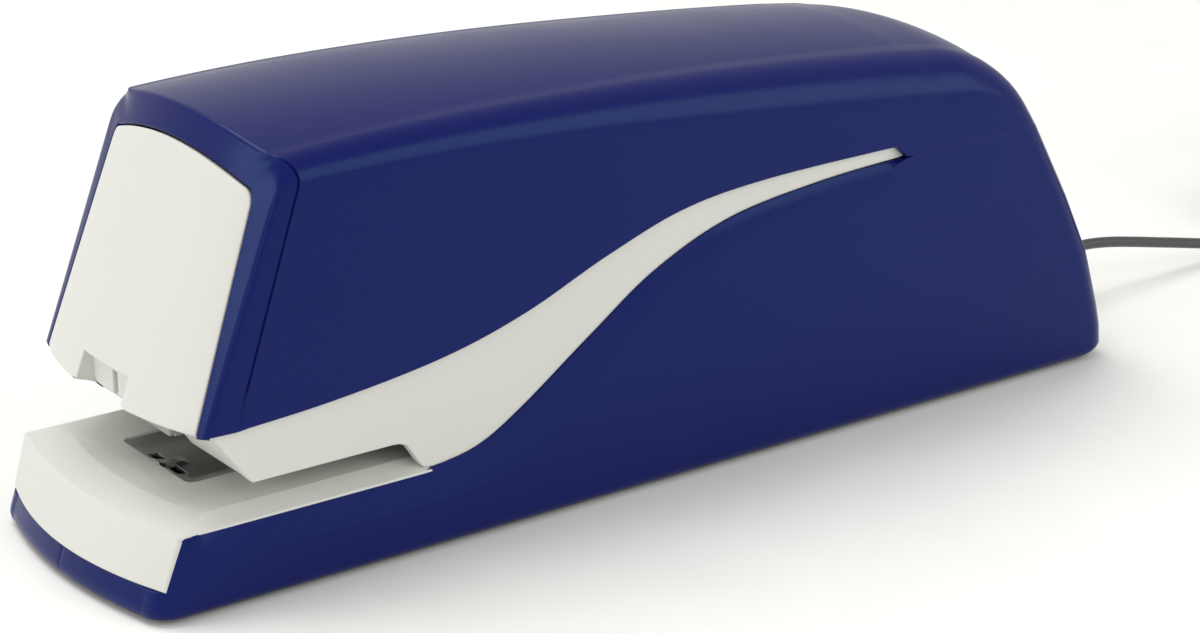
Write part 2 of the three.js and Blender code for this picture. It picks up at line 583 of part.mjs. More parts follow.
// ---------- paper feeler and switches ----------
const FEELER = { x0: 6.9, x1: 8.5, y: -68, z: 24 };
function paperFeeler() {
  const outline = [
    [-70, 25.5], [-70, 22.6], [-66.4, 18], [-65.2, 14.1], [-63.4, 14.1], [-64, 18], [-65.6, 22.2],
    [-60.6, 26.2], [-61.6, 27.8], [-67, 26.3],
  ];
  return cut(slabX(outline, FEELER.x0, FEELER.x1), barX(0.9, FEELER.y, FEELER.z, 0, 20, 12));
}
const feelerPin = () => barX(0.8, FEELER.y, FEELER.z, 6.3, FRAME_IN - GAP, 12);
const paperSwitch = () => block(6.6, 11.4, -64, -52, 32, 38.2);

// ---------- power ----------
function batteryHolder() {
  const outer = block(-16.4, 16.4, -28.6, 79.2, 3.5, 19.6);
  const bay = block(-15.2, 15.2, -27.4, 77.8, -1, 18.4);
  const rib = block(-16, 16, 24.5, 25.3, 6, 19);
  return join(cut(outer, bay), rib);
}
function batteryCell(x, y) {
  const can = barY(CELL.radius, x, CELL.z, y, y + CELL.length, 18);
  return join(can, barY(2.7, x, CELL.z, y + CELL.length - 0.1, y + CELL.length + 1, 12));
}
const contactStrip = (y) => block(-13.5, 13.5, y, y + 0.5, 5.5, 16.5);

function bottomPlate() {
  const halfX = 23.2;
  const outline = [
    [-halfX + 3, -88], [halfX - 3, -88], [halfX, -84], [halfX, 88], [halfX - 3, 91], [-halfX + 3, 91],
    [-halfX, 88], [-halfX, -84],
  ];
  const bay = block(-17.2, 17.2, -29.6, 80.4, -1, 9);
  const footWells = FEET.map(([x, y]) => barZ(FOOT_R + GAP, x, y, -1, 2.0));
  const headWells = SCREWS.map(([x, y]) => barZ(SCREW_HEAD_R + GAP, x, y, -1, 2.2));
  const screwHoles = SCREWS.map(([x, y]) => barZ(SCREW_R + GAP, x, y, -1, 5, 12));
  return cut(slabZ(outline, 1.3, 3.2), bay, ...footWells, ...headWells, ...screwHoles);
}
function batteryDoor() {
  const plate = block(-16.9, 16.9, -28.8, 80, 1.3, 3.0);
  const grooves = [0, 1, 2, 3].map((i) => block(-8, 8, 66 + 2.4 * i, 67 + 2.4 * i, 0, 1.7));
  return cut(plate, ...grooves);
}
const FOOT_R = 3.0;
const FEET = [[19.6, -80], [-19.6, -80], [19.6, 82], [-19.6, 82]];
const rubberFoot = ([x, y]) => barZ(FOOT_R, x, y, 0, 2.0 - GAP, 20);
const SCREWS = [[20.2, -40], [-20.2, -40], [20.2, 60], [-20.2, 60]];
const SCREW_R = 1.0;
const SCREW_HEAD_R = 2.6;
function baseScrew([x, y]) {
  const screw = join(barZ(SCREW_HEAD_R, x, y, 1.4, 2.1, 16), barZ(SCREW_R, x, y, 1.6, 9, 12));
  return cut(screw, block(x - 0.4, x + 0.4, y - 2, y + 2, 1, 1.7), block(x - 2, x + 2, y - 0.4, y + 0.4, 1, 1.7));
}

function circuitBoard() {
  const board = block(-18, 18, 38, 76, 23.6, 25.2);
  const capacitor = barZ(4, 9, 60, 25.1, 37, 18);
  const relay = block(-14, -2, 44, 60, 25.1, 35.5);
  return join(board, capacitor, relay);
}
function dcJack() {
  return cut(block(-5, 5, 81.2, 91.2, 4.6, 15.4), barY(3.1, 0, JACK_Z, 84, 95));
}

// ---------- magazine release: a button in the rear wall pushes a latch off the magazine's rear end ----------
const BUTTON = { radius: 4, z: 21.5, frontY: 8.6 };
function releaseButton() {
  const knob = join(barY(BUTTON.radius, 0, BUTTON.z, 84.5, 92.6, 24), barY(BUTTON.radius + 1, 0, BUTTON.z, 84.5, 86.5, 24));
  return join(knob, block(-1.5, 1.5, BUTTON.frontY, 85, BUTTON.z - 1, BUTTON.z + 1));
}
const LATCH = { y: 5, z: 30.5 };
function releaseLatch() {
  const outline = [
    [-8.2, 26.8], [-6.4, 26.8], [-6.2, 29.4], [3.4, 29.4], [4.2, 20.8], [6.2, 20.8], [7, 30.5], [6.2, 32.3],
    [3.8, 32.3], [-8.2, 31.2],
  ];
  return join(slabX(outline, -2, 2), barX(1.4, LATCH.y, LATCH.z, -11.6, 11.6, 14));
}

// ---------- lead ----------
function dcPlug() {
  const barrel = barY(2.75, 0, JACK_Z, 84.6, 93, 16);
  const grip = barY(4.2, 0, JACK_Z, 92.8, 103, 20);
  return join(barrel, grip, barY(2.6, 0, JACK_Z, 102.8, PLUG_END_Y, 12, 1.5));
}
// The lead's route where it isn't coiled: from the plug down to the table, and round to the coil.
const LEAD_ROUTE = [
  [0, 112.3, 10], [0, 116, 9.8], [0, 121, 9.1], [0, 127, 7.9], [0, 133, 6.6], [0, 139, 5.3], [0.1, 145, 4],
  [0.6, 151, 2.9], [1.8, 157, 1.9], [3.8, 163, 1.25], [6.6, 169, 1], [9.6, 175, 1], [11.6, 180.5, 1],
];
const LEAD_TAIL = [[10.1, 192, 9.4], [9.4, 198, 9], [8.3, 203, 8.4], [8, 206, 8.2]];
const COIL = { x: -4, y: 186, middleR: 12, halfBundle: 5.2, height: 10.4 };
const coilRoom = () => barZ(COIL.middleR + COIL.halfBundle + GAP, COIL.x, COIL.y, -1, 20, 32);
function leadPiece(points, steps) {
  const curve = new THREE.CatmullRomCurve3(points.map((p) => new THREE.Vector3(...p)));
  return cut(tube(curve, CORD_DIAMETER / 2, 8, steps), block(-40, 40, 100, 240, -5, 0), coilRoom());
}
function leadCoil() {
  const [inner, outer] = [COIL.middleR - COIL.halfBundle, COIL.middleR + COIL.halfBundle];
  const rim = [[inner, 0], [outer, 0], [outer, COIL.height], [inner, COIL.height], [inner, 0]];
  const ring = new THREE.LatheGeometry(rim.map(([r, z]) => new THREE.Vector2(r, z)), 32);
  return solid(ring.rotateX(Math.PI / 2).translate(COIL.x, COIL.y, 0));
}
// The mains adapter at the lead's far end, lying on its side, with a strain relief and two round pins.
const ADAPTER = { x: 8, halfX: 15, y0: 213, y1: 256, height: 34, leadZ: 8.2, pinR: 2, pinX: 9.5, pinLength: 18.5 };
function adapterBody() {
  const { x, halfX, y0, y1, height, leadZ, pinR, pinX } = ADAPTER;
  const box = block(x - halfX, x + halfX, y0, y1, 0, height);
  const chamfer = (way) =>
    slabY([[x + way * (halfX - 3), height], [x + way * halfX, height - 3], [x + way * (halfX + 2), height + 2]], 200, 260);
  const wells = [-1, 1].map((way) => barY(pinR + GAP, x + way * pinX, height / 2, y1 - 3, y1 + 5, 16));
  return join(cut(box, chamfer(1), chamfer(-1), ...wells), barY(1.5, x, leadZ, 206.3, y0 + 1, 14, 2.6));
}
const adapterPin = (way) => {
  const { x, y1, height, pinR, pinX, pinLength } = ADAPTER;
  return barY(pinR, x + way * pinX, height / 2, y1 - 2.6, y1 + pinLength, 14);
};

const parts = [
  ["top_cover", topCover(), BLUE],
  ["base_shell_right", baseShell(), BLUE],
  ["base_shell_left", mirrored(baseShell()), BLUE],
  ["front_panel", frontPanel(), WHITE],
  ["nose_plate", nosePlate(), WHITE],
  ["paper_tray", paperTray(), WHITE],
  ["anvil_plate", anvilPlate(), DARK_STEEL],
  ["middle_housing_right", middleHousing(), WHITE],
  ["middle_housing_left", mirrored(middleHousing()), WHITE],
  ["magazine_channel", magazineChannel(), STEEL],
  ["staple_strip", stapleStrip(), STEEL],
  ["staple_pusher", staplePusher(), BLACK],
  ["pusher_spring", pusherSpring(), STEEL],
  ["cam_gear", camGear(), GEAR_WHITE],
  ["second_gear", secondGear(), GEAR_WHITE],
  ["first_gear", firstGear(), GEAR_WHITE],
  ["motor_pinion", motorPinion(), BRASS],
  ["cam_disc", camDisc(), DARK_STEEL],
  ["cam_shaft", camShaft(), STEEL],
  ["drive_lever", driveLever(), DARK_STEEL],
  ["lever_pin", barX(2.0, LEVER.y, LEVER.z, -14, 13.8, 16), STEEL],
  ["driver_blade", driverBlade(), STEEL],
  ["driver_holder", driverHolder(), BLACK],
  ["frame_right", rightFrame(), STEEL],
  ["frame_left", mirrored(framePlate(8)), STEEL],
  ["frame_spacer_front", spacerBar(-50, 55), STEEL],
  ["frame_spacer_rear", spacerBar(-14, 31.3), STEEL],
  ["motor_can", motorCan(), STEEL],
  ["paper_feeler", paperFeeler(), BLACK],
  ["feeler_pin", feelerPin(), STEEL],
  ["paper_switch", paperSwitch(), BLACK],
  ["battery_holder", batteryHolder(), BLACK],
  ["battery_contact_front", contactStrip(-27.1), BRASS],
  ["battery_contact_rear", contactStrip(76.9), BRASS],
  ["bottom_plate", bottomPlate(), BLACK],
  ["battery_door", batteryDoor(), BLACK],
  ["circuit_board", circuitBoard(), BOARD_GREEN],
  ["dc_jack", dcJack(), BLACK],
  ["dc_plug", dcPlug(), CORD_GREY],
  ["lead_run", leadPiece(LEAD_ROUTE, 28), CORD_GREY],
  ["lead_coil", leadCoil(), CORD_GREY],
  ["lead_tail", leadPiece(LEAD_TAIL, 8), CORD_GREY],
  ["adapter_body", adapterBody(), BLACK],
  ["adapter_pin_1", adapterPin(-1), STEEL],
  ["adapter_pin_2", adapterPin(1), STEEL],
  ["release_button", releaseButton(), BLACK],
  ["release_latch", releaseLatch(), DARK_STEEL],
];
CELL.starts.forEach((y, row) =>
  [-CELL.x, CELL.x].forEach((x, side) => parts.push([`battery_${row * 2 + side + 1}`, batteryCell(x, y), CELL_GREEN])),
);
FEET.forEach((at, i) => parts.push([`rubber_foot_${i + 1}`, rubberFoot(at), RUBBER]));
SCREWS.forEach((at, i) => parts.push([`base_screw_${i + 1}`, baseScrew(at), STEEL]));

parts.forEach(([name, body, material]) => piece(name, body, material));

export default group;
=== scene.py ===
"""Looks of the electric stapler: shells, magazine, mouth, lead and studio, built in the CAD's frame."""

import json
import math

import bmesh
import bpy
import numpy as np
from mathutils import Matrix, Vector
from mathutils.geometry import tessellate_polygon


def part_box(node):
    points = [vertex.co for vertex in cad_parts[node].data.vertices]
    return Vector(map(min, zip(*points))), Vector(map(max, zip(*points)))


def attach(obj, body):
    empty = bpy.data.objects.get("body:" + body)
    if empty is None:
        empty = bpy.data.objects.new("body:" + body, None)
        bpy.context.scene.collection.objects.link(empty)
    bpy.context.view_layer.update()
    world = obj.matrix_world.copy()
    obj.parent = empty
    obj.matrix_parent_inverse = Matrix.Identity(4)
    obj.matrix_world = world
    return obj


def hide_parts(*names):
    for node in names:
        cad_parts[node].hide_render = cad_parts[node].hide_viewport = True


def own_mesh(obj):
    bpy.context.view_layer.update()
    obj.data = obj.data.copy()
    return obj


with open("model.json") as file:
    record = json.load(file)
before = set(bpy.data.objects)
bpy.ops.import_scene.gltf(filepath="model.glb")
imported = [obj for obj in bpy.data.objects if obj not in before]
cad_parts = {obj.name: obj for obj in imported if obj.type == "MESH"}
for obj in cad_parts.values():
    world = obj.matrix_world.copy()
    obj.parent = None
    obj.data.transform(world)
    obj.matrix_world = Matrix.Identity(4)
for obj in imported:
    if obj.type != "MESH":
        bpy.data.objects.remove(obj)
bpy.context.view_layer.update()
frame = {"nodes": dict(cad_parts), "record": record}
NODES = frame["nodes"]
for imported in list(bpy.data.materials):
    bpy.data.materials.remove(imported)  # every surface gets a material of its own below

MM = 0.001  # shapes below are in millimetres
HALF = 25.6  # half the stapler's width
BAND_X = 24.4  # outer face of the white band and jaw
SEAM_Z = 45.5
TRAY_EDGE_Z = 13.4
TRAY_TOP_Z = 14.7

# ---------- camera ----------
LENS = 91.44
CAMERA_AT = (382.8, -272.5, 192.0)
CAMERA_AZIMUTH, CAMERA_ELEVATION, CAMERA_ROLL = 0.947, 0.350, 0.0045


def make_camera():
    a, e = CAMERA_AZIMUTH, CAMERA_ELEVATION
    back = Vector((math.sin(a) * math.cos(e), -math.cos(a) * math.cos(e), math.sin(e)))
    right = Vector((math.cos(a), math.sin(a), 0))
    up = back.cross(right)
    turn = Matrix.Rotation(-CAMERA_ROLL, 3, back)
    axes = Matrix([turn @ right, turn @ up, back]).transposed()
    data = bpy.data.cameras.new("camera")
    data.sensor_width = 36
    data.lens = LENS
    camera = bpy.data.objects.new("camera", data)
    camera.matrix_world = Matrix.Translation(Vector(CAMERA_AT) * MM) @ axes.to_4x4()
    bpy.context.scene.collection.objects.link(camera)
    bpy.context.scene.camera = camera


make_camera()


# ---------- materials ----------
def material(name, color, roughness, build, **sockets):
    """A principled material; build adds what varies over the surface."""
    made = bpy.data.materials.new(name)
    made.use_nodes = True
    nodes, links = made.node_tree.nodes, made.node_tree.links
    shader = nodes["Principled BSDF"]
    shader.inputs["Base Color"].default_value = (*color, 1)
    shader.inputs["Roughness"].default_value = roughness
    for socket, value in sockets.items():
        shader.inputs[socket.replace("_", " ")].default_value = value
    build(nodes, links, shader, color, roughness)
    return made


def noise(nodes, links, scale, detail=4.0, roughness=0.6, stretch=(1, 1, 1)):
    where = nodes.new("ShaderNodeTexCoord")
    mapping = nodes.new("ShaderNodeMapping")
    mapping.inputs["Scale"].default_value = stretch
    made = nodes.new("ShaderNodeTexNoise")
    made.inputs["Scale"].default_value = scale
    made.inputs["Detail"].default_value = detail
    made.inputs["Roughness"].default_value = roughness
    links.new(where.outputs["Object"], mapping.inputs["Vector"])
    links.new(mapping.outputs["Vector"], made.inputs["Vector"])
    return made.outputs["Fac"]


def ranged(nodes, links, value, low, high):
    made = nodes.new("ShaderNodeMapRange")
    made.inputs["From Min"].default_value = 0.3
    made.inputs["From Max"].default_value = 0.7
    made.inputs["To Min"].default_value = low
    made.inputs["To Max"].default_value = high
    links.new(value, made.inputs["Value"])
    return made.outputs["Result"]


def shaded(nodes, links, value, color, spread):
    """The color, darker and lighter by the spread as the value goes from low to high."""
    mix = nodes.new("ShaderNodeMix")
    mix.data_type = "RGBA"
    mix.inputs["A"].default_value = (*[c * (1 - spread) for c in color], 1)
    mix.inputs["B"].default_value = (*[min(1, c * (1 + spread)) for c in color], 1)
    links.new(value, mix.inputs["Factor"])
    return mix.outputs["Result"]


def bumped(nodes, links, shader, value, strength, distance):
    bump = nodes.new("ShaderNodeBump")
    bump.inputs["Strength"].default_value = strength
    bump.inputs["Distance"].default_value = distance
    links.new(value, bump.inputs["Height"])
    links.new(bump.outputs["Normal"], shader.inputs["Normal"])


def moulded(nodes, links, shader, color, roughness, grain=2600, height=0.00002):
    """Moulded plastic with a fine spark-eroded grain."""
    cloud = noise(nodes, links, 30, 3)
    links.new(shaded(nodes, links, cloud, color, 0.03), shader.inputs["Base Color"])
    low, high = roughness * 0.9, roughness * 1.1
    links.new(ranged(nodes, links, cloud, low, high), shader.inputs["Roughness"])
    bumped(nodes, links, shader, noise(nodes, links, grain, 2, 0.5), 0.25, height)


def satin(nodes, links, shader, color, roughness):
    moulded(nodes, links, shader, color, roughness, grain=3600, height=0.000008)


def brushed(nodes, links, shader, color, roughness):
    """Rolled metal with fine lines along its length."""
    lines = noise(nodes, links, 900, 3, 0.7, (1, 0.04, 1))
    links.new(shaded(nodes, links, lines, color, 0.08), shader.inputs["Base Color"])
    low, high = roughness * 0.8, roughness * 1.25
    links.new(ranged(nodes, links, lines, low, high), shader.inputs["Roughness"])
    bumped(nodes, links, shader, lines, 0.2, 0.00002)


def rubbery(nodes, links, shader, color, roughness):
    moulded(nodes, links, shader, color, roughness, grain=1400, height=0.00004)


BLUE_SHEEN = (0.35, 0.75, 1, 1)
BLUE = material(
    "blue_plastic", (0.0066, 0.0068, 0.094), 0.27, satin, Specular_IOR_Level=0.2, Specular_Tint=BLUE_SHEEN,
)
WHITE = material("white_plastic", (0.615, 0.615, 0.58), 0.5, moulded, Specular_IOR_Level=0.3)
BLACK = material("black_plastic", (0.02, 0.02, 0.022), 0.55, moulded)
RUBBER = material("rubber_feet", (0.03, 0.03, 0.032), 0.8, rubbery)
CORD = material("cord_grey", (0.045, 0.045, 0.048), 0.42, rubbery)
GEAR = material("gear_white", (0.62, 0.60, 0.52), 0.5, moulded)
BOARD = material("board_green", (0.02, 0.12, 0.05), 0.45, moulded)
CELL = material("cell_green", (0.03, 0.15, 0.07), 0.3, satin)
STEEL = material("steel", (0.58, 0.59, 0.61), 0.3, brushed, Metallic=1)
# Dark steel: the anvil's own colour; on the plate below the nose and on the magazine channel it is painted
# shade.
DARK_STEEL_AND_SHADE = material("dark_steel", (0.42, 0.42, 0.41), 0.4, brushed, Metallic=1)
BRASS = material("brass", (0.62, 0.44, 0.17), 0.32, brushed, Metallic=1)
BY_SLOT = {
    m.name: m for m in (BLUE, WHITE, BLACK, RUBBER, CORD, GEAR, BOARD, CELL, STEEL, DARK_STEEL_AND_SHADE, BRASS)
}


# ---------- making pieces ----------
def vector(points):
    return np.asarray(points, float)


def spline(points, per_span):
    """A smooth line through the points, as an array."""
    p = vector(points)
    p = np.vstack([p[:1], p, p[-1:]])
    t = np.linspace(0, 1, per_span, endpoint=False)[:, None]
    spans = []
    for a, b, c, d in zip(p, p[1:], p[2:], p[3:]):
        m0, m1 = (c - a) / 2, (d - b) / 2
        spans.append(
            (2 * t**3 - 3 * t**2 + 1) * b + (t**3 - 2 * t**2 + t) * m0
            + (3 * t**2 - 2 * t**3) * c + (t**3 - t**2) * m1
        )
    return np.vstack([*spans, p[-1:]])


def along(line, shares):
    """Points at the given shares of a line's length."""
    steps = np.r_[0, np.cumsum(np.linalg.norm(np.diff(line, axis=0), axis=1))]
    where = np.asarray(shares) * steps[-1]
    return np.stack([np.interp(where, steps, line[:, k]) for k in range(line.shape[1])], 1)


class Skin:
    """A surface in millimetres, made of patches that share their edges."""

    def __init__(self):
        self.bm = bmesh.new()

    def grid(self, rows, skip=lambda i, j: False):
        """Faces between rows of points. Points that coincide with a neighbour's are welded later."""
        verts = [[self.bm.verts.new(p) for p in row] for row in rows]
        for i in range(len(rows) - 1):
            for j in range(len(rows[0]) - 1):
                if not skip(i, j):
                    corners = [verts[i][j], verts[i][j + 1], verts[i + 1][j + 1], verts[i + 1][j]]
                    self.bm.faces.new(corners)
        return self

    def flat(self, *loops):
        """A plane region inside the first loop and outside the others."""
        verts = [[self.bm.verts.new(p) for p in loop] for loop in loops]
        flat = [v for loop in verts for v in loop]
        for tri in tessellate_polygon([[Vector(p) for p in loop] for loop in loops]):
            self.bm.faces.new([flat[i] for i in tri])
        return self

    def weld(self, distance=0.004):
        bmesh.ops.remove_doubles(self.bm, verts=self.bm.verts[:], dist=distance)
        thin = [e for e in self.bm.edges if e.calc_length() < distance]
        bmesh.ops.dissolve_degenerate(self.bm, edges=thin, dist=distance)
        bmesh.ops.recalc_face_normals(self.bm, faces=self.bm.faces[:])
        return self

    def face_out(self, point, way):
        """Turns all faces over if the one nearest the point doesn't face the way given."""
        point, way = Vector(point), Vector(way)
        near = min(self.bm.faces, key=lambda f: (f.calc_center_median() - point).length)
        if near.normal.dot(way) < 0:
            bmesh.ops.reverse_faces(self.bm, faces=self.bm.faces[:])
        return self

    def lip(self, radius, depth, where=lambda p: True, steps=3):
        """Rounds the open edges and carries them inwards, as a moulded wall's edge is."""
        bm = self.bm
        bm.normal_update()
        edges = [e for e in bm.edges if e.is_boundary and all(where(v.co) for v in e.verts)]
        outward = {}
        for e in edges:
            loop = e.link_loops[0]
            side = (loop.link_loop_next.vert.co - loop.vert.co).cross(loop.face.normal).normalized()
            for v in e.verts:
                outward.setdefault(v, []).append(side)
        rings = {}
        for v, sides in outward.items():
            out = sides[0]
            if len(sides) > 1:
                out = (sides[0] + sides[1]) / max(0.4, 1 + sides[0].dot(sides[1]))
            turns = [math.pi / 2 * k / steps for k in range(1, steps + 1)]
            ring = [v.co + radius * (math.sin(a) * out - (1 - math.cos(a)) * v.normal) for a in turns]
            ring.append(v.co + radius * out - (radius + depth) * v.normal)
            rings[v] = [v] + [bm.verts.new(p) for p in ring]
        for e in edges:
            loop = e.link_loops[0]
            a, b = rings[loop.vert], rings[loop.link_loop_next.vert]
            for k in range(steps + 1):
                bm.faces.new([b[k], a[k], a[k + 1], b[k + 1]])
        return self

    def round_edges(self, width, least=20, segments=3, where=lambda p: True):
        """Bevels the edges that turn by more than the least angle, in degrees."""
        self.bm.normal_update()
        chosen = [
            e for e in self.bm.edges
            if len(e.link_faces) == 2 and math.degrees(e.calc_face_angle(0)) > least
            and all(where(v.co) for v in e.verts)
        ]
        bmesh.ops.bevel(
            self.bm, geom=chosen, offset=width, segments=segments, profile=0.5, affect="EDGES",
            clamp_overlap=True,
        )
        return self

    def place(self, name, look, body, replaces=(), sharp=40):
        mesh = bpy.data.meshes.new(name)
        bmesh.ops.scale(self.bm, vec=(MM,) * 3, verts=self.bm.verts[:])
        self.bm.to_mesh(mesh)
        self.bm.free()
        mesh.polygons.foreach_set("use_smooth", [True] * len(mesh.polygons))
        mesh.set_sharp_from_angle(angle=math.radians(sharp))
        return finished(bpy.data.objects.new(name, mesh), look, body, replaces)


def finished(obj, look, body, replaces=()):
    """Links the object and tells the frame its surface, its body and the CAD nodes it stands in for."""
    bpy.context.scene.collection.objects.link(obj)
    obj.data.materials.clear()
    obj.data.materials.append(look)
    if obj.type == "MESH":
        weighted = obj.modifiers.new("weighted_normals", "WEIGHTED_NORMAL")
        weighted.keep_sharp = True
    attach(obj, body)
    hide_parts(*replaces)
    return obj


def prism(outline, axis, low, high):
    """A solid from low to high along the axis. The outline's pairs are places on the other two axes."""
    others = [k for k in range(3) if k != axis]
    ends = []
    for level in (low, high):
        loop = np.zeros((len(outline), 3))
        loop[:, others] = outline
        loop[:, axis] = level
        ends.append(loop)
    skin = Skin()
    verts = [[skin.bm.verts.new(p) for p in loop] for loop in ends]
    skin.bm.faces.new(verts[0])
    skin.bm.faces.new(verts[1])
    count = len(outline)
    for i in range(count):
        j = (i + 1) % count
        skin.bm.faces.new([verts[0][i], verts[0][j], verts[1][j], verts[1][i]])
    bmesh.ops.recalc_face_normals(skin.bm, faces=skin.bm.faces[:])
    return skin


def box(x0, x1, y0, y1, z0, z1):
    return prism([(y0, z0), (y1, z0), (y1, z1), (y0, z1)], 0, x0, x1)


def added(first, *others):
    """The first skin with the others' faces added to it."""
    for other in others:
        mesh = bpy.data.meshes.new("part")
        other.bm.to_mesh(mesh)
        other.bm.free()
        first.bm.from_mesh(mesh)
        bpy.data.meshes.remove(mesh)
    return first


def rounded_rectangle(x0, x1, y0, y1, radius, steps=6):
    points = []
    for cx, cy, start in ((x1, y1, 0), (x0, y1, 90), (x0, y0, 180), (x1, y0, 270)):
        ox = cx - math.copysign(radius, cx - (x0 + x1) / 2)
        oy = cy - math.copysign(radius, cy - (y0 + y1) / 2)
        for k in range(steps + 1):
            a = math.radians(start + 90 * k / steps)
            points.append((ox + radius * math.cos(a), oy + radius * math.sin(a)))
    return points


def turned(profile, centre, axis, segments=48):
    """A turned solid: the profile's pairs are distance along the axis and radius."""
    others = [k for k in range(3) if k != axis]
    rows = []
    for k in range(segments + 1):
        a = 2 * math.pi * k / segments
        row = np.zeros((len(profile), 3))
        row[:, axis] = [p[0] for p in profile]
        row[:, others[0]] = [p[1] * math.cos(a) for p in profile]
        row[:, others[1]] = [p[1] * math.sin(a) for p in profile]
        rows.append(row + vector(centre))
    return Skin().grid(rows).weld(0.001)


# ---------- the lead ----------
CORD_RADIUS = 1.0
# From the plug down to the table and round to the coil.
LEAD_ROUTE = [
    (0, 112.3, 10), (0, 116, 9.8), (0, 121, 9.1), (0, 127, 7.9), (0, 133, 6.6), (0, 139, 5.3), (0.1, 145, 4),
    (0.6, 151, 2.9), (1.8, 157, 1.9), (3.8, 163, 1.25), (6.6, 169, 1), (9.6, 175, 1), (11.6, 180.5, 1),
]
LEAD_TAIL = [(10.1, 192, 9.4), (9.4, 198, 9), (8.3, 203, 8.4), (8, 206, 8.2)]
COIL_CENTRE = (-4, 186)
COIL_STEP = 2.1  # between neighbouring turns
COIL_MIDDLE = 12  # radius of the middle one of five turns side by side
COIL_TURNS = 22
TURNS = [
    (COIL_MIDDLE + COIL_STEP * column, 1 + COIL_STEP * layer)
    for layer in range(5)
    for column in ([2, 1, 0, -1, -2] if layer % 2 == 0 else [-2, -1, 0, 1, 2])
][:COIL_TURNS]


def coil_points(per_turn=24):
    """Neat turns side by side and layer on layer; each turn eases over to the next in its last quarter."""
    points = []
    for k, (radius, z) in enumerate(TURNS):
        to_radius, to_z = TURNS[min(k + 1, len(TURNS) - 1)]
        for i in range(per_turn):
            share = i / per_turn
            ease = max(0, share - 0.7) / 0.3
            ease = ease * ease * (3 - 2 * ease)
            r, h = radius + (to_radius - radius) * ease, z + (to_z - z) * ease
            a = 2 * math.pi * share
            points.append((COIL_CENTRE[0] + r * math.cos(a), COIL_CENTRE[1] + r * math.sin(a), h))
    radius, z = TURNS[-1]
    return points + [(COIL_CENTRE[0] + radius, COIL_CENTRE[1], z)]


def lead():
    points = [*LEAD_ROUTE, *coil_points(), *LEAD_TAIL]
    curve = bpy.data.curves.new("lead", "CURVE")
    curve.dimensions = "3D"
    line = curve.splines.new("POLY")
    smooth = spline(points, 3)
    smooth[:, 2] = np.maximum(smooth[:, 2], CORD_RADIUS)
    line.points.add(len(smooth) - 1)
    for point, at in zip(line.points, smooth):
        point.co = (*(at * MM), 1)
    curve.bevel_depth = CORD_RADIUS * MM
    curve.bevel_resolution = 5
    curve.use_fill_caps = True
    obj = bpy.data.objects.new("lead", curve)
    finished(obj, CORD, "housing", ["lead_run", "lead_coil", "lead_tail"])
    length = float(np.sum(np.linalg.norm(np.diff(smooth, axis=0), axis=1))) * MM
    return obj, length


def coil_tie():
    """A wire tie round the coil's section."""
    reach, low, high, half_width = 5.2, 0.15, 10.3, 1.2
    inner, outer = COIL_MIDDLE - reach, COIL_MIDDLE + reach
    corners = [(inner, low), (outer, low), (outer, high), (inner, high)]
    rows = []
    for y in (-half_width, half_width):
        rows.append([(COIL_CENTRE[0] - r, COIL_CENTRE[1] + y, z) for r, z in [*corners, corners[0]]])
    return Skin().grid(rows).weld().place("lead_tie", BLACK, "housing")


lead_object, lead_length = lead()
tie = coil_tie()

# ---------- the curves on the side, in Y and Z ----------
BAND_UPPER = spline(
    [(-84, 27.5), (-64, 28.6), (-44, 31.1), (-29, 35.0), (-14, 40.9), (1, 45.6), (18, 47.4), (44, 47.8)], 12
)
BAND_LOWER = spline(
    [
        (-47.3, 13.4), (-38, 14.9), (-29.7, 19.2), (-16.2, 28.4), (-4, 36.3), (10.7, 42), (28.8, 44.5),
        (46.4, SEAM_Z),
    ],
    12,
)
# Outer edge of the sloped face on the body under the band; it runs out towards the tray's front.
BEVEL_OUTER = spline(
    [
        (-90.5, 12.6), (-84, 10.6), (-68, 8.9), (-49.4, 8.6), (-39.8, 8.9), (-32.5, 10.5), (-23.1, 15.9),
        (-16.3, 21.7), (-9.4, 28.1), (-2.5, 33.1), (4.5, 36.1), (10.1, 39.0), (18.8, 41.0), (28.8, 42.1),
        (38.5, 42.9), (46.4, 45.4),
    ],
    8,
)


def head_front(x, z):
    """The leaning, bowed front of the head."""
    return -84.2 + 0.393 * (z - 27.5) + (x * x - 625) / 160


# ---------- top cover ----------
TOP_LINE = spline(
    [
        (-86, 63.2), (-69.3, 65.0), (-43, 65.6), (-10, 64.6), (25, 62.1), (52, 59.5), (63, 57.8), (71, 53.2),
        (76.6, 45.6), (84.5, 31.6),
    ],
    30,
) - (0, 0.06)
TOP_NORMAL = np.gradient(TOP_LINE, axis=0) @ np.array([[0, 1], [-1, 0]])
TOP_NORMAL = TOP_NORMAL / np.linalg.norm(TOP_NORMAL, axis=1)[:, None]


def top_surface(t, c):
    """A point on the cover: t runs along its outline, c across the crown to 1 and round the shoulder to 2."""
    n = len(TOP_LINE) - 1
    i = np.clip(t * n, 0, n)
    y, z, ny, nz = (
        np.interp(i, range(n + 1), v) for v in (*TOP_LINE.T, *TOP_NORMAL.T)
    )
    sag = np.interp(y, [50, 66, 76], [4.1, 3.4, 2.2])
    radius = np.interp(y, [-75, -20, 10, 55, 66, 76], [4.4, 6.0, 7.4, 8.4, 7.0, 3.6])
    flat = HALF - radius
    if abs(c) <= 1:
        x = c * flat
        off = sag * (1 - (x / HALF) ** 2)
    else:
        a = (abs(c) - 1) * math.pi / 2
        x = math.copysign(flat + radius * math.sin(a), c)
        off = sag * (1 - (flat / HALF) ** 2) - radius * (1 - math.cos(a))
    return np.array([x, y + off * ny, z + off * nz])


def solve(test, low, high):
    """Where test, which is negative at low and positive at high, crosses zero."""
    for _ in range(40):
        middle = (low + high) / 2
        low, high = (middle, high) if test(middle) < 0 else (low, middle)
    return (low + high) / 2


CREASE_SETBACK = 2.8  # of the crease on the sides, behind the head's front
SHOULDER_COLUMNS, SIDE_COLUMNS = 10, 12


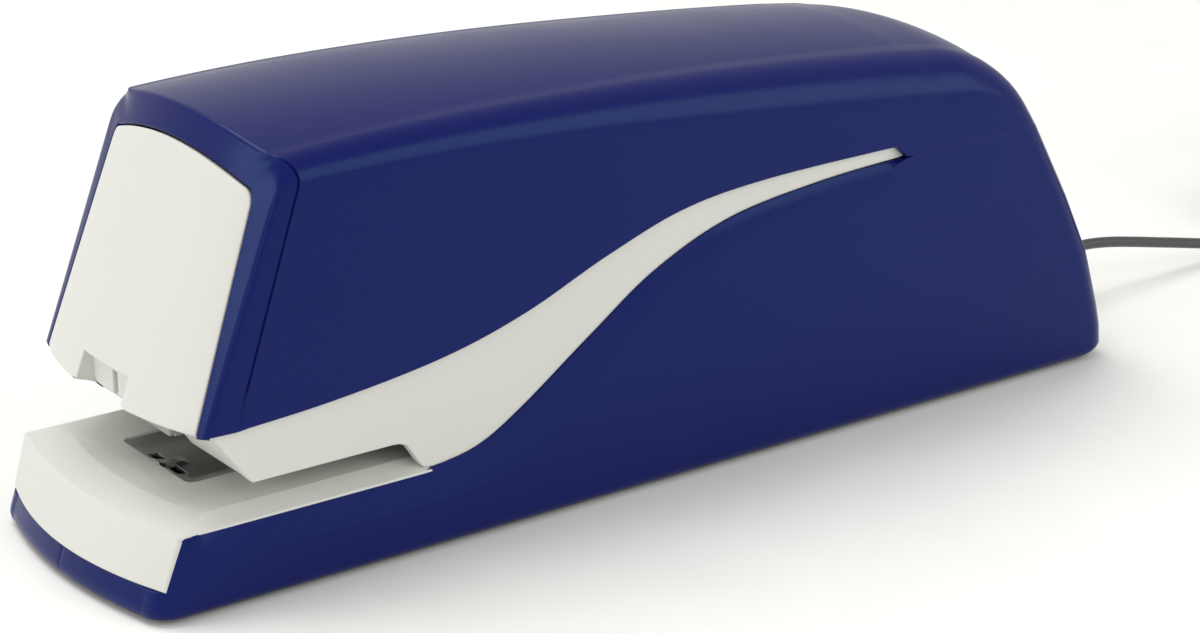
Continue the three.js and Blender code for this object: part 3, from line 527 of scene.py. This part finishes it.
def crease_back(c):
    """How far behind the head's front the crease round its bezel lies, at c across the cover."""
    share = max(0, (abs(c) - 0.8) / 1.2)
    return CREASE_SETBACK * share * share * (3 - 2 * share)


SHOULDER = np.linspace(1, 2, SHOULDER_COLUMNS + 1)[1:]
ACROSS = np.r_[-SHOULDER[::-1], np.linspace(-1, 1, 33), SHOULDER]
CREASE_FOOT = (-79.3, 27.75)
PANEL_FOOT_Z = 27.5
SEAM_LINE = SEAM_Z + 0.3


def crease_t(c):
    def ahead(t):
        x, y, z = top_surface(t, c)
        return y - head_front(x, z) - crease_back(c)

    return solve(ahead, 0, 0.35)


def seam_t(c):
    return solve(lambda t: SEAM_LINE - top_surface(t, c)[2], 0.5, 1)


def cover_edge():
    """Lower edge of the cover on the side: along the band, round its rear tip and along the seam."""
    line = BAND_UPPER[BAND_UPPER[:, 0] > CREASE_FOOT[0] + 1] + (0, 0.15)
    rear = top_surface(seam_t(2), 2)
    return np.vstack([CREASE_FOOT, line, (44.3, 47.95), (46.7, SEAM_LINE), (rear[1], SEAM_LINE)])


def cover_rows():
    """Rows from the cover's lower left edge over to the lower right one, from the crease to the rear seam."""
    columns = []
    for c in ACROSS:
        ts = np.linspace(crease_t(c), seam_t(c), 240)
        columns.append((ts, np.array([top_surface(t, c)[1] for t in ts])))
    shares = np.r_[0, np.linspace(0.012, 0.8, 76), np.linspace(0.8, 1, 32)[1:]]
    low = along(cover_edge(), shares)
    side_steps = np.linspace(1, 0, SIDE_COLUMNS + 1)[:-1]
    rows = []
    for ly, lz in low:
        share = (ly - low[0, 0]) / (low[-1, 0] - low[0, 0])
        roof = [
            top_surface(np.interp(ys[0] + (ys[-1] - ys[0]) * share, ys, ts), c)
            for (ts, ys), c in zip(columns, ACROSS)
        ]
        _, ry, rz = roof[-1]
        right = [(HALF, ry + (ly - ry) * s, rz + (lz - rz) * s) for s in side_steps]
        left = [(-x, y, z) for x, y, z in right]
        rows.append([*left, *roof, *right[::-1]])
    return rows


OPENING_HALF = 23.4  # at its foot
OPENING_CORNER = (20.9, 61.5)
CROWN_Z = 64.5
CROWN_DROP = 3.5  # of the opening's upper edge, from its middle to its corners
OPENING_PLAY = 0.25


def opening_line():
    """Edge of the panel's opening, from the foot on the right up and over to the middle of the crown."""
    corner = (OPENING_CORNER[0] + OPENING_PLAY, OPENING_CORNER[1] + OPENING_PLAY)
    crown_z, half = CROWN_Z + OPENING_PLAY, OPENING_HALF + OPENING_PLAY
    crown = [(x, crown_z - CROWN_DROP * (x / corner[0]) ** 2) for x in np.linspace(corner[0], 0, 40)]
    slope = (corner[0] - half) / (corner[1] - PANEL_FOOT_Z)
    radius = 1.8
    start = (corner[0] - slope * radius, corner[1] - radius)
    end = (corner[0] - radius, crown_z - CROWN_DROP * ((corner[0] - radius) / corner[0]) ** 2)
    bend = [
        (1 - t) ** 2 * vector(start) + 2 * t * (1 - t) * vector(corner) + t * t * vector(end)
        for t in np.linspace(0, 1, 9)
    ]
    side = [(half + slope * (z - PANEL_FOOT_Z), z) for z in np.linspace(PANEL_FOOT_Z, start[1], 20)[:-1]]
    return vector([*side, *bend, *[p for p in crown if p[0] < end[0] - 0.2]])


def bezel_rows(crease_row):
    """From the crease round the head's rounded front corner to the panel's opening."""
    crease = vector(crease_row)[: len(crease_row) // 2 + 1] * (-1, 1, 1)
    middle = SIDE_COLUMNS + SHOULDER_COLUMNS // 2
    opening = opening_line()
    split = int(np.argmin(abs(opening[:, 0] - 20.6) + abs(opening[:, 1] - OPENING_CORNER[1])))
    lower = np.linspace(0, 1, middle + 1)
    upper = np.linspace(0, 1, len(crease) - middle)[1:]
    inner = np.vstack([along(opening[: split + 1], lower), along(opening[split:], upper)])
    inner = np.stack([inner[:, 0], head_front(inner[:, 0], inner[:, 1]) - 0.15, inner[:, 1]], 1)
    corner = crease.copy()
    corner[:, 0] = np.minimum(crease[:, 0], 25.3)
    front = head_front(crease[:, 0], crease[:, 2])
    turned_back = np.clip((crease[:, 1] - front) / CREASE_SETBACK, 0, 1)[:, None]
    corner[:, 1] = front - 0.5 * turned_back[:, 0]
    corner = corner * turned_back + (crease + inner) / 2 * (1 - turned_back)
    pull = 1 + 3 * turned_back
    rows = []
    for share in (0, 0.22, 0.32, 0.42, 0.52, 0.62, 0.72, 0.82, 0.92, 1):
        parts = (1 - share) ** 2, 2 * share * (1 - share) * pull, share**2
        row = (crease * parts[0] + corner * parts[1] + inner * parts[2]) / sum(parts)
        rows.append(np.vstack([row, row[::-1][1:] * (-1, 1, 1)])[::-1])
    return rows


GROOVE_DEPTH = 0.34


def grooved(cover, bezel):
    """The cover's and the bezel's rows with a fine groove along the crease, deepest down the sides."""
    crease, after, ahead = (vector(rows) for rows in (cover[0], cover[1], bezel[1]))
    inboard = np.clip((abs(crease[:, 0]) - 21) / 3, 0, 1)
    above_foot = np.clip((crease[:, 2] - 27.9) / 1.5, 0, 1)
    depth = GROOVE_DEPTH * inboard * above_foot
    reach = np.where(depth > 0, 0.24, 0.7)
    near = []
    for row in (after, ahead):
        away = row - crease
        long = np.linalg.norm(away, axis=1)
        near.append(crease + away * np.minimum(0.7, reach / long)[:, None])
    inward = vector([(-math.copysign(1, p[0]), 0, -0.8 * max(0, (p[2] - 58) / 10)) for p in crease])
    sunk = crease + inward * depth[:, None]
    return [sunk, near[0], *cover[1:]], [sunk, near[1], *bezel[1:]]


def top_cover():
    rows = cover_rows()
    crease = {tuple(round(v, 1) for v in p) for p in rows[0] if abs(p[0]) < 20}
    cover, bezel = grooved(rows, bezel_rows(rows[0]))
    skin = Skin().grid(cover).grid(bezel).weld(0.01)
    skin.face_out((0, 0, 68), (0, 0, 1))
    skin.round_edges(0.5, 6, 4, lambda p: tuple(round(v, 1) for v in p) in crease)
    skin.lip(0.25, 1.7)
    return skin.place("top_cover_shell", BLUE, "housing", ["top_cover"])


top_cover()


# ---------- front panel and nose ----------
NOTCH_HALF, NOTCH_TOP = 7.9, 32.2
NOTCH_SHARE = 0.3185  # of the panel's half width
PANEL_PROUD = 0.7
PANEL_INSET = 0.3  # from the opening's edge
PANEL_EDGE_PROUD = 0.15
PANEL_EDGE_Z = PANEL_FOOT_Z + 0.35  # of the panel's lower edge


def panel_point(u, v):
    """A point on the panel: u runs from -1 to 1 across it, v from its lower edge to its crown."""
    half = OPENING_HALF - PANEL_INSET - 0.1
    across = abs(u)
    corner_x, corner_z = OPENING_CORNER[0] - PANEL_INSET, 61
    crown = CROWN_Z - PANEL_INSET - CROWN_DROP * across**2
    round_from = 0.93
    if across > round_from:
        crown -= 1.5 * (1 - math.sqrt(max(0, 1 - ((across - round_from) / (1 - round_from)) ** 2)))
    z = PANEL_EDGE_Z + v * (crown - PANEL_EDGE_Z)
    slope = (corner_x - half) / (corner_z - PANEL_FOOT_Z)
    x = u * (half + slope * (min(z, corner_z) - PANEL_FOOT_Z))
    proud = PANEL_EDGE_PROUD + (PANEL_PROUD - PANEL_EDGE_PROUD) * (1 - across**8)
    return (x, head_front(x, z) - proud, z)


def front_panel():
    near_edge = np.linspace(0.9, 1, 9)
    us = np.unique(np.r_[np.linspace(-1, 1, 41), near_edge, -near_edge, -NOTCH_SHARE, NOTCH_SHARE])
    notch_v = (NOTCH_TOP - PANEL_EDGE_Z) / (CROWN_Z - PANEL_INSET - PANEL_EDGE_Z)
    vs = np.unique(np.r_[np.linspace(0, 1, 31), notch_v])
    rows = [[panel_point(u, v) for u in us] for v in vs]
    in_notch = lambda i, j: vs[i] < notch_v - 1e-6 and -NOTCH_SHARE - 1e-4 < us[j] < NOTCH_SHARE - 1e-4
    skin = Skin().grid(rows, in_notch).weld().face_out((15, -80, 45), (0, -1, 0))
    skin.lip(0.25, 3.4, lambda p: abs(p.x) < NOTCH_HALF + 0.1 and p.z < NOTCH_TOP + 0.1)
    beside = lambda p: abs(p.x) > NOTCH_HALF + 0.4 or abs(p.x) > NOTCH_HALF - 0.05 and p.z < 28.5
    skin.lip(0.3, 1.6, lambda p: beside(p) or p.z > NOTCH_TOP + 0.8)
    return skin.place("front_panel_shell", WHITE, "magazine", ["front_panel"])


front_panel()


def nose():
    """The magazine's rounded nose behind the notch, with the slit the staples leave by."""
    front, back, foot, top, half, slit = -85.4, -79.2, 26.7, 31.8, 7.3, 0.7
    outside = [p for p in rounded_rectangle(-half, half, foot, top, 1.9, 8) if p[0] > slit]
    outside.sort(key=lambda p: math.atan2(p[1] - 29, p[0] - 3.6))
    shape = [(slit, foot), *outside, (slit, top)]
    halves = []
    for side in (1, -1):
        skin = prism([(side * x, z) for x, z in shape], 1, front, back)
        halves.append(skin.round_edges(0.35, 40, 3, lambda p: p.y < front + 0.01))
    bridge = box(-slit, slit, front + 0.25, back, 30.4, top)
    behind = box(-slit, slit, front + 1.6, back, foot, 30.4)
    # A plate below the nose in dark steel: painted shade that stands in for the shadow gap under the panel.
    shade_plate = box(-5.9, 5.9, -80, -79.1, 20.6, foot).round_edges(0.2, 40, 2)
    shade_plate.place("nose_foot", DARK_STEEL_AND_SHADE, "magazine", [], 30)
    return added(*halves, bridge, behind).place("nose", WHITE, "magazine", ["nose_plate"], 30)


nose()


# ---------- housing band and jaw ----------
def band_rows():
    """Across the band from its lower to its upper edge, from the jaw's front to the rear tip."""
    lower = [(y, z + 0.15) for y, z in BAND_LOWER if -46 < y < 44]
    mouth = [(-82.4, 27.35), (-76.5, 18.9), (-51.6, 18.9), (-49.9, 18.2), (-48.9, 16.6), (-47.4, 14.1)]
    upper = [(-82.4, 27.35), *[(y, z - 0.15) for y, z in BAND_UPPER if -81 < y < 43], (44.1, 47.75)]
    low = along(vector([*mouth, *lower, (46.5, 45.65)]), np.linspace(0, 1, 110))
    high = along(vector(upper), np.linspace(0, 1, 110))
    return [[a + (b - a) * t for t in (0, 0.35, 0.7, 1)] for a, b in zip(low, high)]


def band():
    """The white band on each side, with the jaw's floor and its lip towards the middle."""
    for side in (1, -1):
        rows = [[(side * BAND_X, y, z) for y, z in row] for row in band_rows()]
        plate = Skin().grid(rows).weld(0.01)
        plate.face_out((side * BAND_X, -60, 24), (side, 0, 0)).lip(0.3, 1.2)
        floor = prism([(-82.4, 27.35), (-76.5, 18.9), (-50, 18.9), (-50, 20), (-74.8, 20), (-80, 27.35)], 0,
                      *sorted((side * 11, side * 24.1)))
        name = "right" if side > 0 else "left"
        lip = prism([(-81.7, 26.3), (-76.5, 18.9), (-73, 18.9), (-73, 20), (-74.8, 20), (-79.2, 26.3)], 0,
                    *sorted((side * 6.2, side * 11)))
        added(plate, floor, lip).place(f"jaw_{name}", WHITE, "housing", [f"middle_housing_{name}"])


band()


# ---------- base shells ----------
def base_plan(z, s):
    """Right half of the base's outline at height z: s runs to 1 on the front, 2 on the side, 3 behind."""
    front = np.interp(z, [0.9, 5.4, 13.4, 24], [-93, -91.4, -88.8, -85.0])
    rear = np.interp(z, [0.9, 3.1, 8, 20, 31.6, 45.6], [93.9, 94.8, 93.9, 90.2, 84.5, 76.6])
    draw = 2.2 * (1 - math.sqrt(max(0, 1 - ((2.6 - min(z, 2.6)) / 2.2) ** 2))) if z < 2.6 else 0
    half = HALF - draw
    front, rear = front + draw, rear - draw
    radius, bow_front, bow_rear = 4.5, 4.0, 2.5
    if s <= 1:
        x = s * (half - radius)
        return x, front - bow_front * (1 - (x / HALF) ** 2)
    corner_front = front - bow_front * (1 - ((half - radius) / HALF) ** 2)
    corner_rear = rear + bow_rear * (1 - ((half - 3.6) / HALF) ** 2)
    if s <= 1.5:
        a = (s - 1) * math.pi
        return half - radius * (1 - math.sin(a)), corner_front + radius * (1 - math.cos(a))
    if s >= 2:
        x = (3 - s) * (half - 3.6)
        return x, rear + bow_rear * (1 - (x / HALF) ** 2)
    y0, y1 = corner_front + radius, corner_rear - 4.0
    if s <= 1.9:
        return half, y0 + (y1 - y0) * (s - 1.5) / 0.4
    a = (s - 1.9) / 0.1 * math.pi / 2
    return half - 3.6 * (1 - math.cos(a)), y1 + 4.0 * math.sin(a)


def base_top(s):
    """Height of the base's upper edge at s, before it slopes in to the tray, the band or the seam."""
    x, y = base_plan(5.4, s)
    if s < 1.5:
        step = (x - 24.2) / 0.5
        return 5.1 if step < 0 else min(12.9, 5.1 + 7.8 * step)

    def over(z):
        py = base_plan(z, s)[1]
        edge = np.interp(py, *BEVEL_OUTER.T) if py < 46.4 else SEAM_Z
        return z - edge

    return solve(over, 2, 50)


BEVEL_INNER = np.vstack([[(-50, 13.2), (-47.6, 13.2)], BAND_LOWER[2:] - (0, 0.15)])


def bevel_inner(y):
    """Inner edge of the sloped face, in Y and Z, beside the outer edge's point at y."""
    if y < -52:
        return y + 2 * max(0, (y + 88) / 36) ** 2, 13.2
    return tuple(along(BEVEL_INNER, [min(1, (y + 52) / 98.4)])[0])


def base_shell(side):
    name = "right" if side > 0 else "left"
    front, rear = np.linspace(0.006, 1, 24)[:-1], np.linspace(2, 2.994, 16)[1:]
    front_corner, rear_corner = np.linspace(1, 1.5, 40), np.linspace(1.9, 2, 9)[1:]
    stations = [*front, *front_corner, *np.linspace(1.5, 1.9, 110)[1:], *rear_corner, *rear]
    tops = [base_top(s) for s in stations]
    lows = [0.9, 1.3, 1.9, 2.6]  # heights round the lower edge
    wall_rows = 12
    rows = []
    for k in range(len(lows) + wall_rows):
        row = []
        for s, top in zip(stations, tops):
            z = lows[k] if k < len(lows) else lows[-1] + (top - lows[-1]) * (k - len(lows) + 1) / wall_rows
            x, y = base_plan(z, s)
            row.append((side * x, y, z))
        rows.append(row)
    bevel = []
    for s, (x, y, z) in zip(stations, rows[-1]):
        if s > 1.42 and y < 46.4:
            bevel.append((side * 24.75, *bevel_inner(y)))
        else:
            bevel.append((x, y, z))
    skin = Skin().grid([*rows, bevel]).weld(0.01).face_out((side * HALF, 0, 20), (side, 0, 0))
    skin.lip(0.2, 1.5)
    return skin.place(f"base_{name}", BLUE, "housing", [f"base_shell_{name}"])


for side in (1, -1):
    base_shell(side)


# ---------- paper tray ----------
TRAY_HALF, TRAY_TOP_HALF = 24.7, 21.4
TRAY_REAR = -46.3
TRAY_FRONT = np.linspace(TRAY_HALF, -TRAY_HALF, 48)  # places across the tray's front
TRAY_SIDE = np.linspace(0, 1, 24)[:-1]


def tray_front(x, middle, bow):
    return middle + bow * (x / TRAY_HALF) ** 2


def tray_paths():
    """The tray's outer edge and its flat top's edge, from the rear right round the front to the left."""
    edge_front = [(x, tray_front(x, -92.3, 3.1)) for x in TRAY_FRONT]
    top_front = [(x * TRAY_TOP_HALF / TRAY_HALF, tray_front(x, -86.9, 3.4)) for x in TRAY_FRONT]
    edge_right = [(TRAY_HALF, TRAY_REAR + (edge_front[0][1] - TRAY_REAR) * t) for t in TRAY_SIDE]
    top_right = [(TRAY_TOP_HALF, TRAY_REAR + (top_front[0][1] - TRAY_REAR) * t) for t in TRAY_SIDE]
    left = lambda points: [(-x, y) for x, y in points[::-1]]
    return [*edge_right, *edge_front, *left(edge_right)], [*top_right, *top_front, *left(top_right)]


RECESS = (-10.9, 10.9, -79.9, -65.7)


def paper_tray():
    edge, top = tray_paths()
    rise = TRAY_TOP_Z - TRAY_EDGE_Z
    slope = []
    for t in (0, 0.5, 1):
        level = vector(edge) + (vector(top) - vector(edge)) * t
        slope.append([(x, y, TRAY_EDGE_Z + rise * t) for x, y in level])
    front = []
    for t in np.linspace(0, 1, 9):
        row = []
        for x in TRAY_FRONT:
            y = tray_front(x, -92.3, 3.1) * (1 - t) + tray_front(x, -95.9, 4.2) * t
            row.append((x * (TRAY_HALF - 0.45 * t) / TRAY_HALF, y, TRAY_EDGE_Z - (TRAY_EDGE_Z - 5.6) * t))
        front.append(row)
    skin = Skin().grid(slope).grid(front)
    hole = [(x, y, TRAY_TOP_Z) for x, y in rounded_rectangle(*RECESS, 1.6)]
    skin.flat([(x, y, TRAY_TOP_Z) for x, y in top], hole).weld(0.01)
    skin.face_out((0, -55, TRAY_TOP_Z), (0, 0, 1))
    skin.round_edges(0.35, 12, 3, lambda p: p.z > 13)
    skin.lip(0.25, 1.4)
    return skin.place("tray", WHITE, "housing", ["paper_tray"])


paper_tray()


def anvil():
    """The anvil's dish, with the two openings that clinch the staple's legs and a bridge between them."""
    half_x, middle_y, half_y = 10.5, -72.8, 6.7
    xs = np.unique(np.r_[np.linspace(-half_x, half_x, 29), -4.9, -1.1, 1.1, 4.9])
    ys = np.unique(np.r_[np.linspace(-79.5, -66.1, 21), -78.6, -76.6])
    rows = []
    for y in ys:
        row = []
        for x in xs:
            edge = max(abs(x) / half_x, abs(y - middle_y) / half_y)
            dish = 0.75 * min(1, max(0, (1 - edge) / 0.3)) ** 0.8
            row.append((x, y, 14.4 - dish + 0.35 * (abs(x) < 1.2) * (y < -75)))
        rows.append(row)
    opening = lambda i, j: -78.7 < ys[i] < -76.7 and (-5 < xs[j] < -1.2 or 1 < xs[j] < 4.8)
    skin = Skin().grid(rows, opening).weld().face_out((8, -70, 14), (0, 0, 1)).lip(0.12, 0.5)
    return skin.place("anvil", DARK_STEEL_AND_SHADE, "housing", ["anvil_plate"], 50)


anvil()


# ---------- the pusher's spring ----------
def pusher_spring():
    """A wire spring, closed at both ends, that the pusher squeezes against the channel's rear wall."""
    radius, wire, z, front, rear, turns = 1.9, 0.3, 24.2, -38.2, -6.1, 11
    rows = []
    for k in range(turns * 24 + 1):
        share = k / (turns * 24)
        ease = share * turns
        pitch = np.interp(ease, [0, 1, turns - 1, turns], [0, 0.022, 0.978, 1])
        a = 2 * math.pi * ease
        y = front + wire + (rear - front - 2 * wire) * pitch
        middle = vector((radius * math.cos(a), y, z + radius * math.sin(a)))
        out = vector((math.cos(a), 0, math.sin(a)))
        turn = [2 * math.pi * i / 8 for i in range(9)]
        rows.append([middle + wire * (math.cos(b) * out + math.sin(b) * vector((0, 1, 0))) for b in turn])
    spring = Skin().grid(rows).weld(0.001).place("spring", STEEL, "magazine", ["pusher_spring"], 60)
    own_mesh(spring)


pusher_spring()


# ---------- plug, adapter, button and feet ----------
def plug():
    """The low-voltage plug: its sleeve, ribbed grip and the bend relief of the lead."""
    grip = [(92.6, 0), (92.6, 3.7), (93.1, 4.1)]
    for k in range(5):
        y = 94.4 + 1.5 * k
        grip += [(y, 4.15), (y + 0.25, 3.8), (y + 0.75, 3.8), (y + 1.0, 4.15)]
    grip += [(102.4, 4.1), (103, 3.6), (103.3, 2.6)]
    for k in range(6):
        y = 103.7 + 1.35 * k
        waist = 1.9 - 0.1 * k
        grip += [(y, 2.6 - 0.14 * k), (y + 0.3, waist), (y + 0.75, waist), (y + 1.0, 2.5 - 0.15 * k)]
    grip += [(112, 1.4), (112, 0)]
    sleeve = turned([(84.8, 0), (84.8, 2.4), (85.1, 2.72), (92.7, 2.72), (92.7, 0)], (0, 0, 10), 1)
    return added(turned(grip, (0, 0, 10), 1), sleeve).place("plug", BLACK, "housing", ["dc_plug"], 50)


def adapter():
    """The mains adapter: two shells with a joint line, and the lead's bend relief."""
    middle_x, half_x, half_z = 8, 15, 17
    rounded = 2.3  # reach of the rounding from a shell's edges
    shells = []
    for y0, y1, joint in ((213, 233.8, 233.8), (234.15, 256, 234.15)):
        skin = box(middle_x - half_x, middle_x + half_x, y0, y1, 0, 2 * half_z).round_edges(2.2, 40, 4)
        for v in skin.bm.verts:
            if abs(v.co.y - joint) < rounded:
                share = 1 - abs(v.co.y - joint) / rounded
                v.co.y += (joint - v.co.y) * 0.82
                for k, middle, half in ((0, middle_x, half_x), (2, half_z, half_z)):
                    away = v.co[k] - middle
                    if abs(away) > half - rounded:
                        v.co[k] = middle + math.copysign(min(half - 0.35 * share, abs(away) + 1.7), away)
        shells.append(skin)
    core = box(-6.4, 22.4, 230, 238, 0.6, 33.4)
    relief = [(206.3, 0), (206.3, 1.5)]
    for k in range(5):
        y = 206.8 + 1.3 * k
        waist = 1.4 + 0.2 * k
        relief += [(y, 1.7 + 0.22 * k), (y + 0.3, waist), (y + 0.7, waist), (y + 0.95, 1.85 + 0.22 * k)]
    relief += [(213.2, 3.0), (213.2, 0)]
    made = added(*shells, core, turned(relief, (8, 0, 8.2), 1))
    return made.place("adapter", BLACK, "housing", ["adapter_body"], 35)


def button():
    """The release button: a flange inside the shell, and a cap with a dished end."""
    flange = [(84.5, 0), (84.5, 4.9), (86.4, 4.9), (86.4, 3.95)]
    cap = [*flange, (91.6, 3.95), (92.2, 3.7), (92.5, 3.2), (92.4, 2.7), (91.9, 1.4), (91.75, 0)]
    rod = box(-1.5, 1.5, 8.6, 84.6, 20, 23).round_edges(0.3, 40, 2)
    return added(turned(cap, (0, 0, 21.5), 1), rod).place("button", BLACK, "button", ["release_button"], 40)


def foot(number):
    profile = [(0, 0), (0, 2.4), (0.15, 2.8), (0.5, 3), (1.7, 3), (1.7, 0)]
    name = f"rubber_foot_{number}"
    centre = [(a + b) / 2 / MM for a, b in zip(*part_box(name))]
    turned(profile, (centre[0], centre[1], 0), 2).place(f"foot_{number}", RUBBER, "housing", [name], 30)


plug_piece, adapter_piece = plug(), adapter()
button()
for number in (1, 2, 3, 4):
    foot(number)


# ---------- studio ----------
def studio():
    reach = 3000
    floor = Skin().grid([[(-reach, y, 0), (reach, y, 0)] for y in (-reach, reach)])
    mesh = bpy.data.meshes.new("floor")
    bmesh.ops.scale(floor.bm, vec=(MM,) * 3, verts=floor.bm.verts[:])
    floor.bm.to_mesh(mesh)
    floor.bm.free()
    obj = bpy.data.objects.new("floor", mesh)
    bpy.context.scene.collection.objects.link(obj)
    mesh.materials.append(material("floor", (0.88, 0.88, 0.85), 0.6, moulded))
    world = bpy.data.worlds.new("studio")
    bpy.context.scene.world = world
    world.use_nodes = True
    background = world.node_tree.nodes["Background"]
    background.inputs["Color"].default_value = (1, 1, 0.975, 1)
    background.inputs["Strength"].default_value = 0.66


def softbox(name, at, target, size, power):
    data = bpy.data.lights.new(name, "AREA")
    data.shape = "RECTANGLE"
    data.size, data.size_y = size[0] * MM, size[1] * MM
    data.energy = power
    obj = bpy.data.objects.new(name, data)
    bpy.context.scene.collection.objects.link(obj)
    obj.location = Vector(at) * MM
    obj.rotation_mode = "QUATERNION"
    obj.rotation_quaternion = (Vector(target) - Vector(at)).to_track_quat("-Z", "Y")


studio()
softbox("key", (-300, -160, 900), (0, 0, 30), (640, 640), 5)
softbox("side", (720, 520, 400), (0, 0, 45), (760, 560), 3)
softbox("front", (-300, -880, 330), (0, -60, 40), (500, 400), 1.9)
softbox("front_right", (460, -700, 240), (0, -60, 40), (360, 260), 0.6)
bpy.context.scene.view_settings.view_transform = "Standard"

# The CAD nodes that no piece above stands in for.
for name, node in NODES.items():
    if not node.hide_render:
        slot = next(s["material_slot"] for s in frame["record"]["subparts"] if s["node"] == name)
        node.data.materials.clear()
        # The magazine channel gets the dark steel instead of its own steel: painted shade below the nose,
        # where its end would show bright.
        node.data.materials.append(DARK_STEEL_AND_SHADE if name == "magazine_channel" else BY_SLOT[slot])
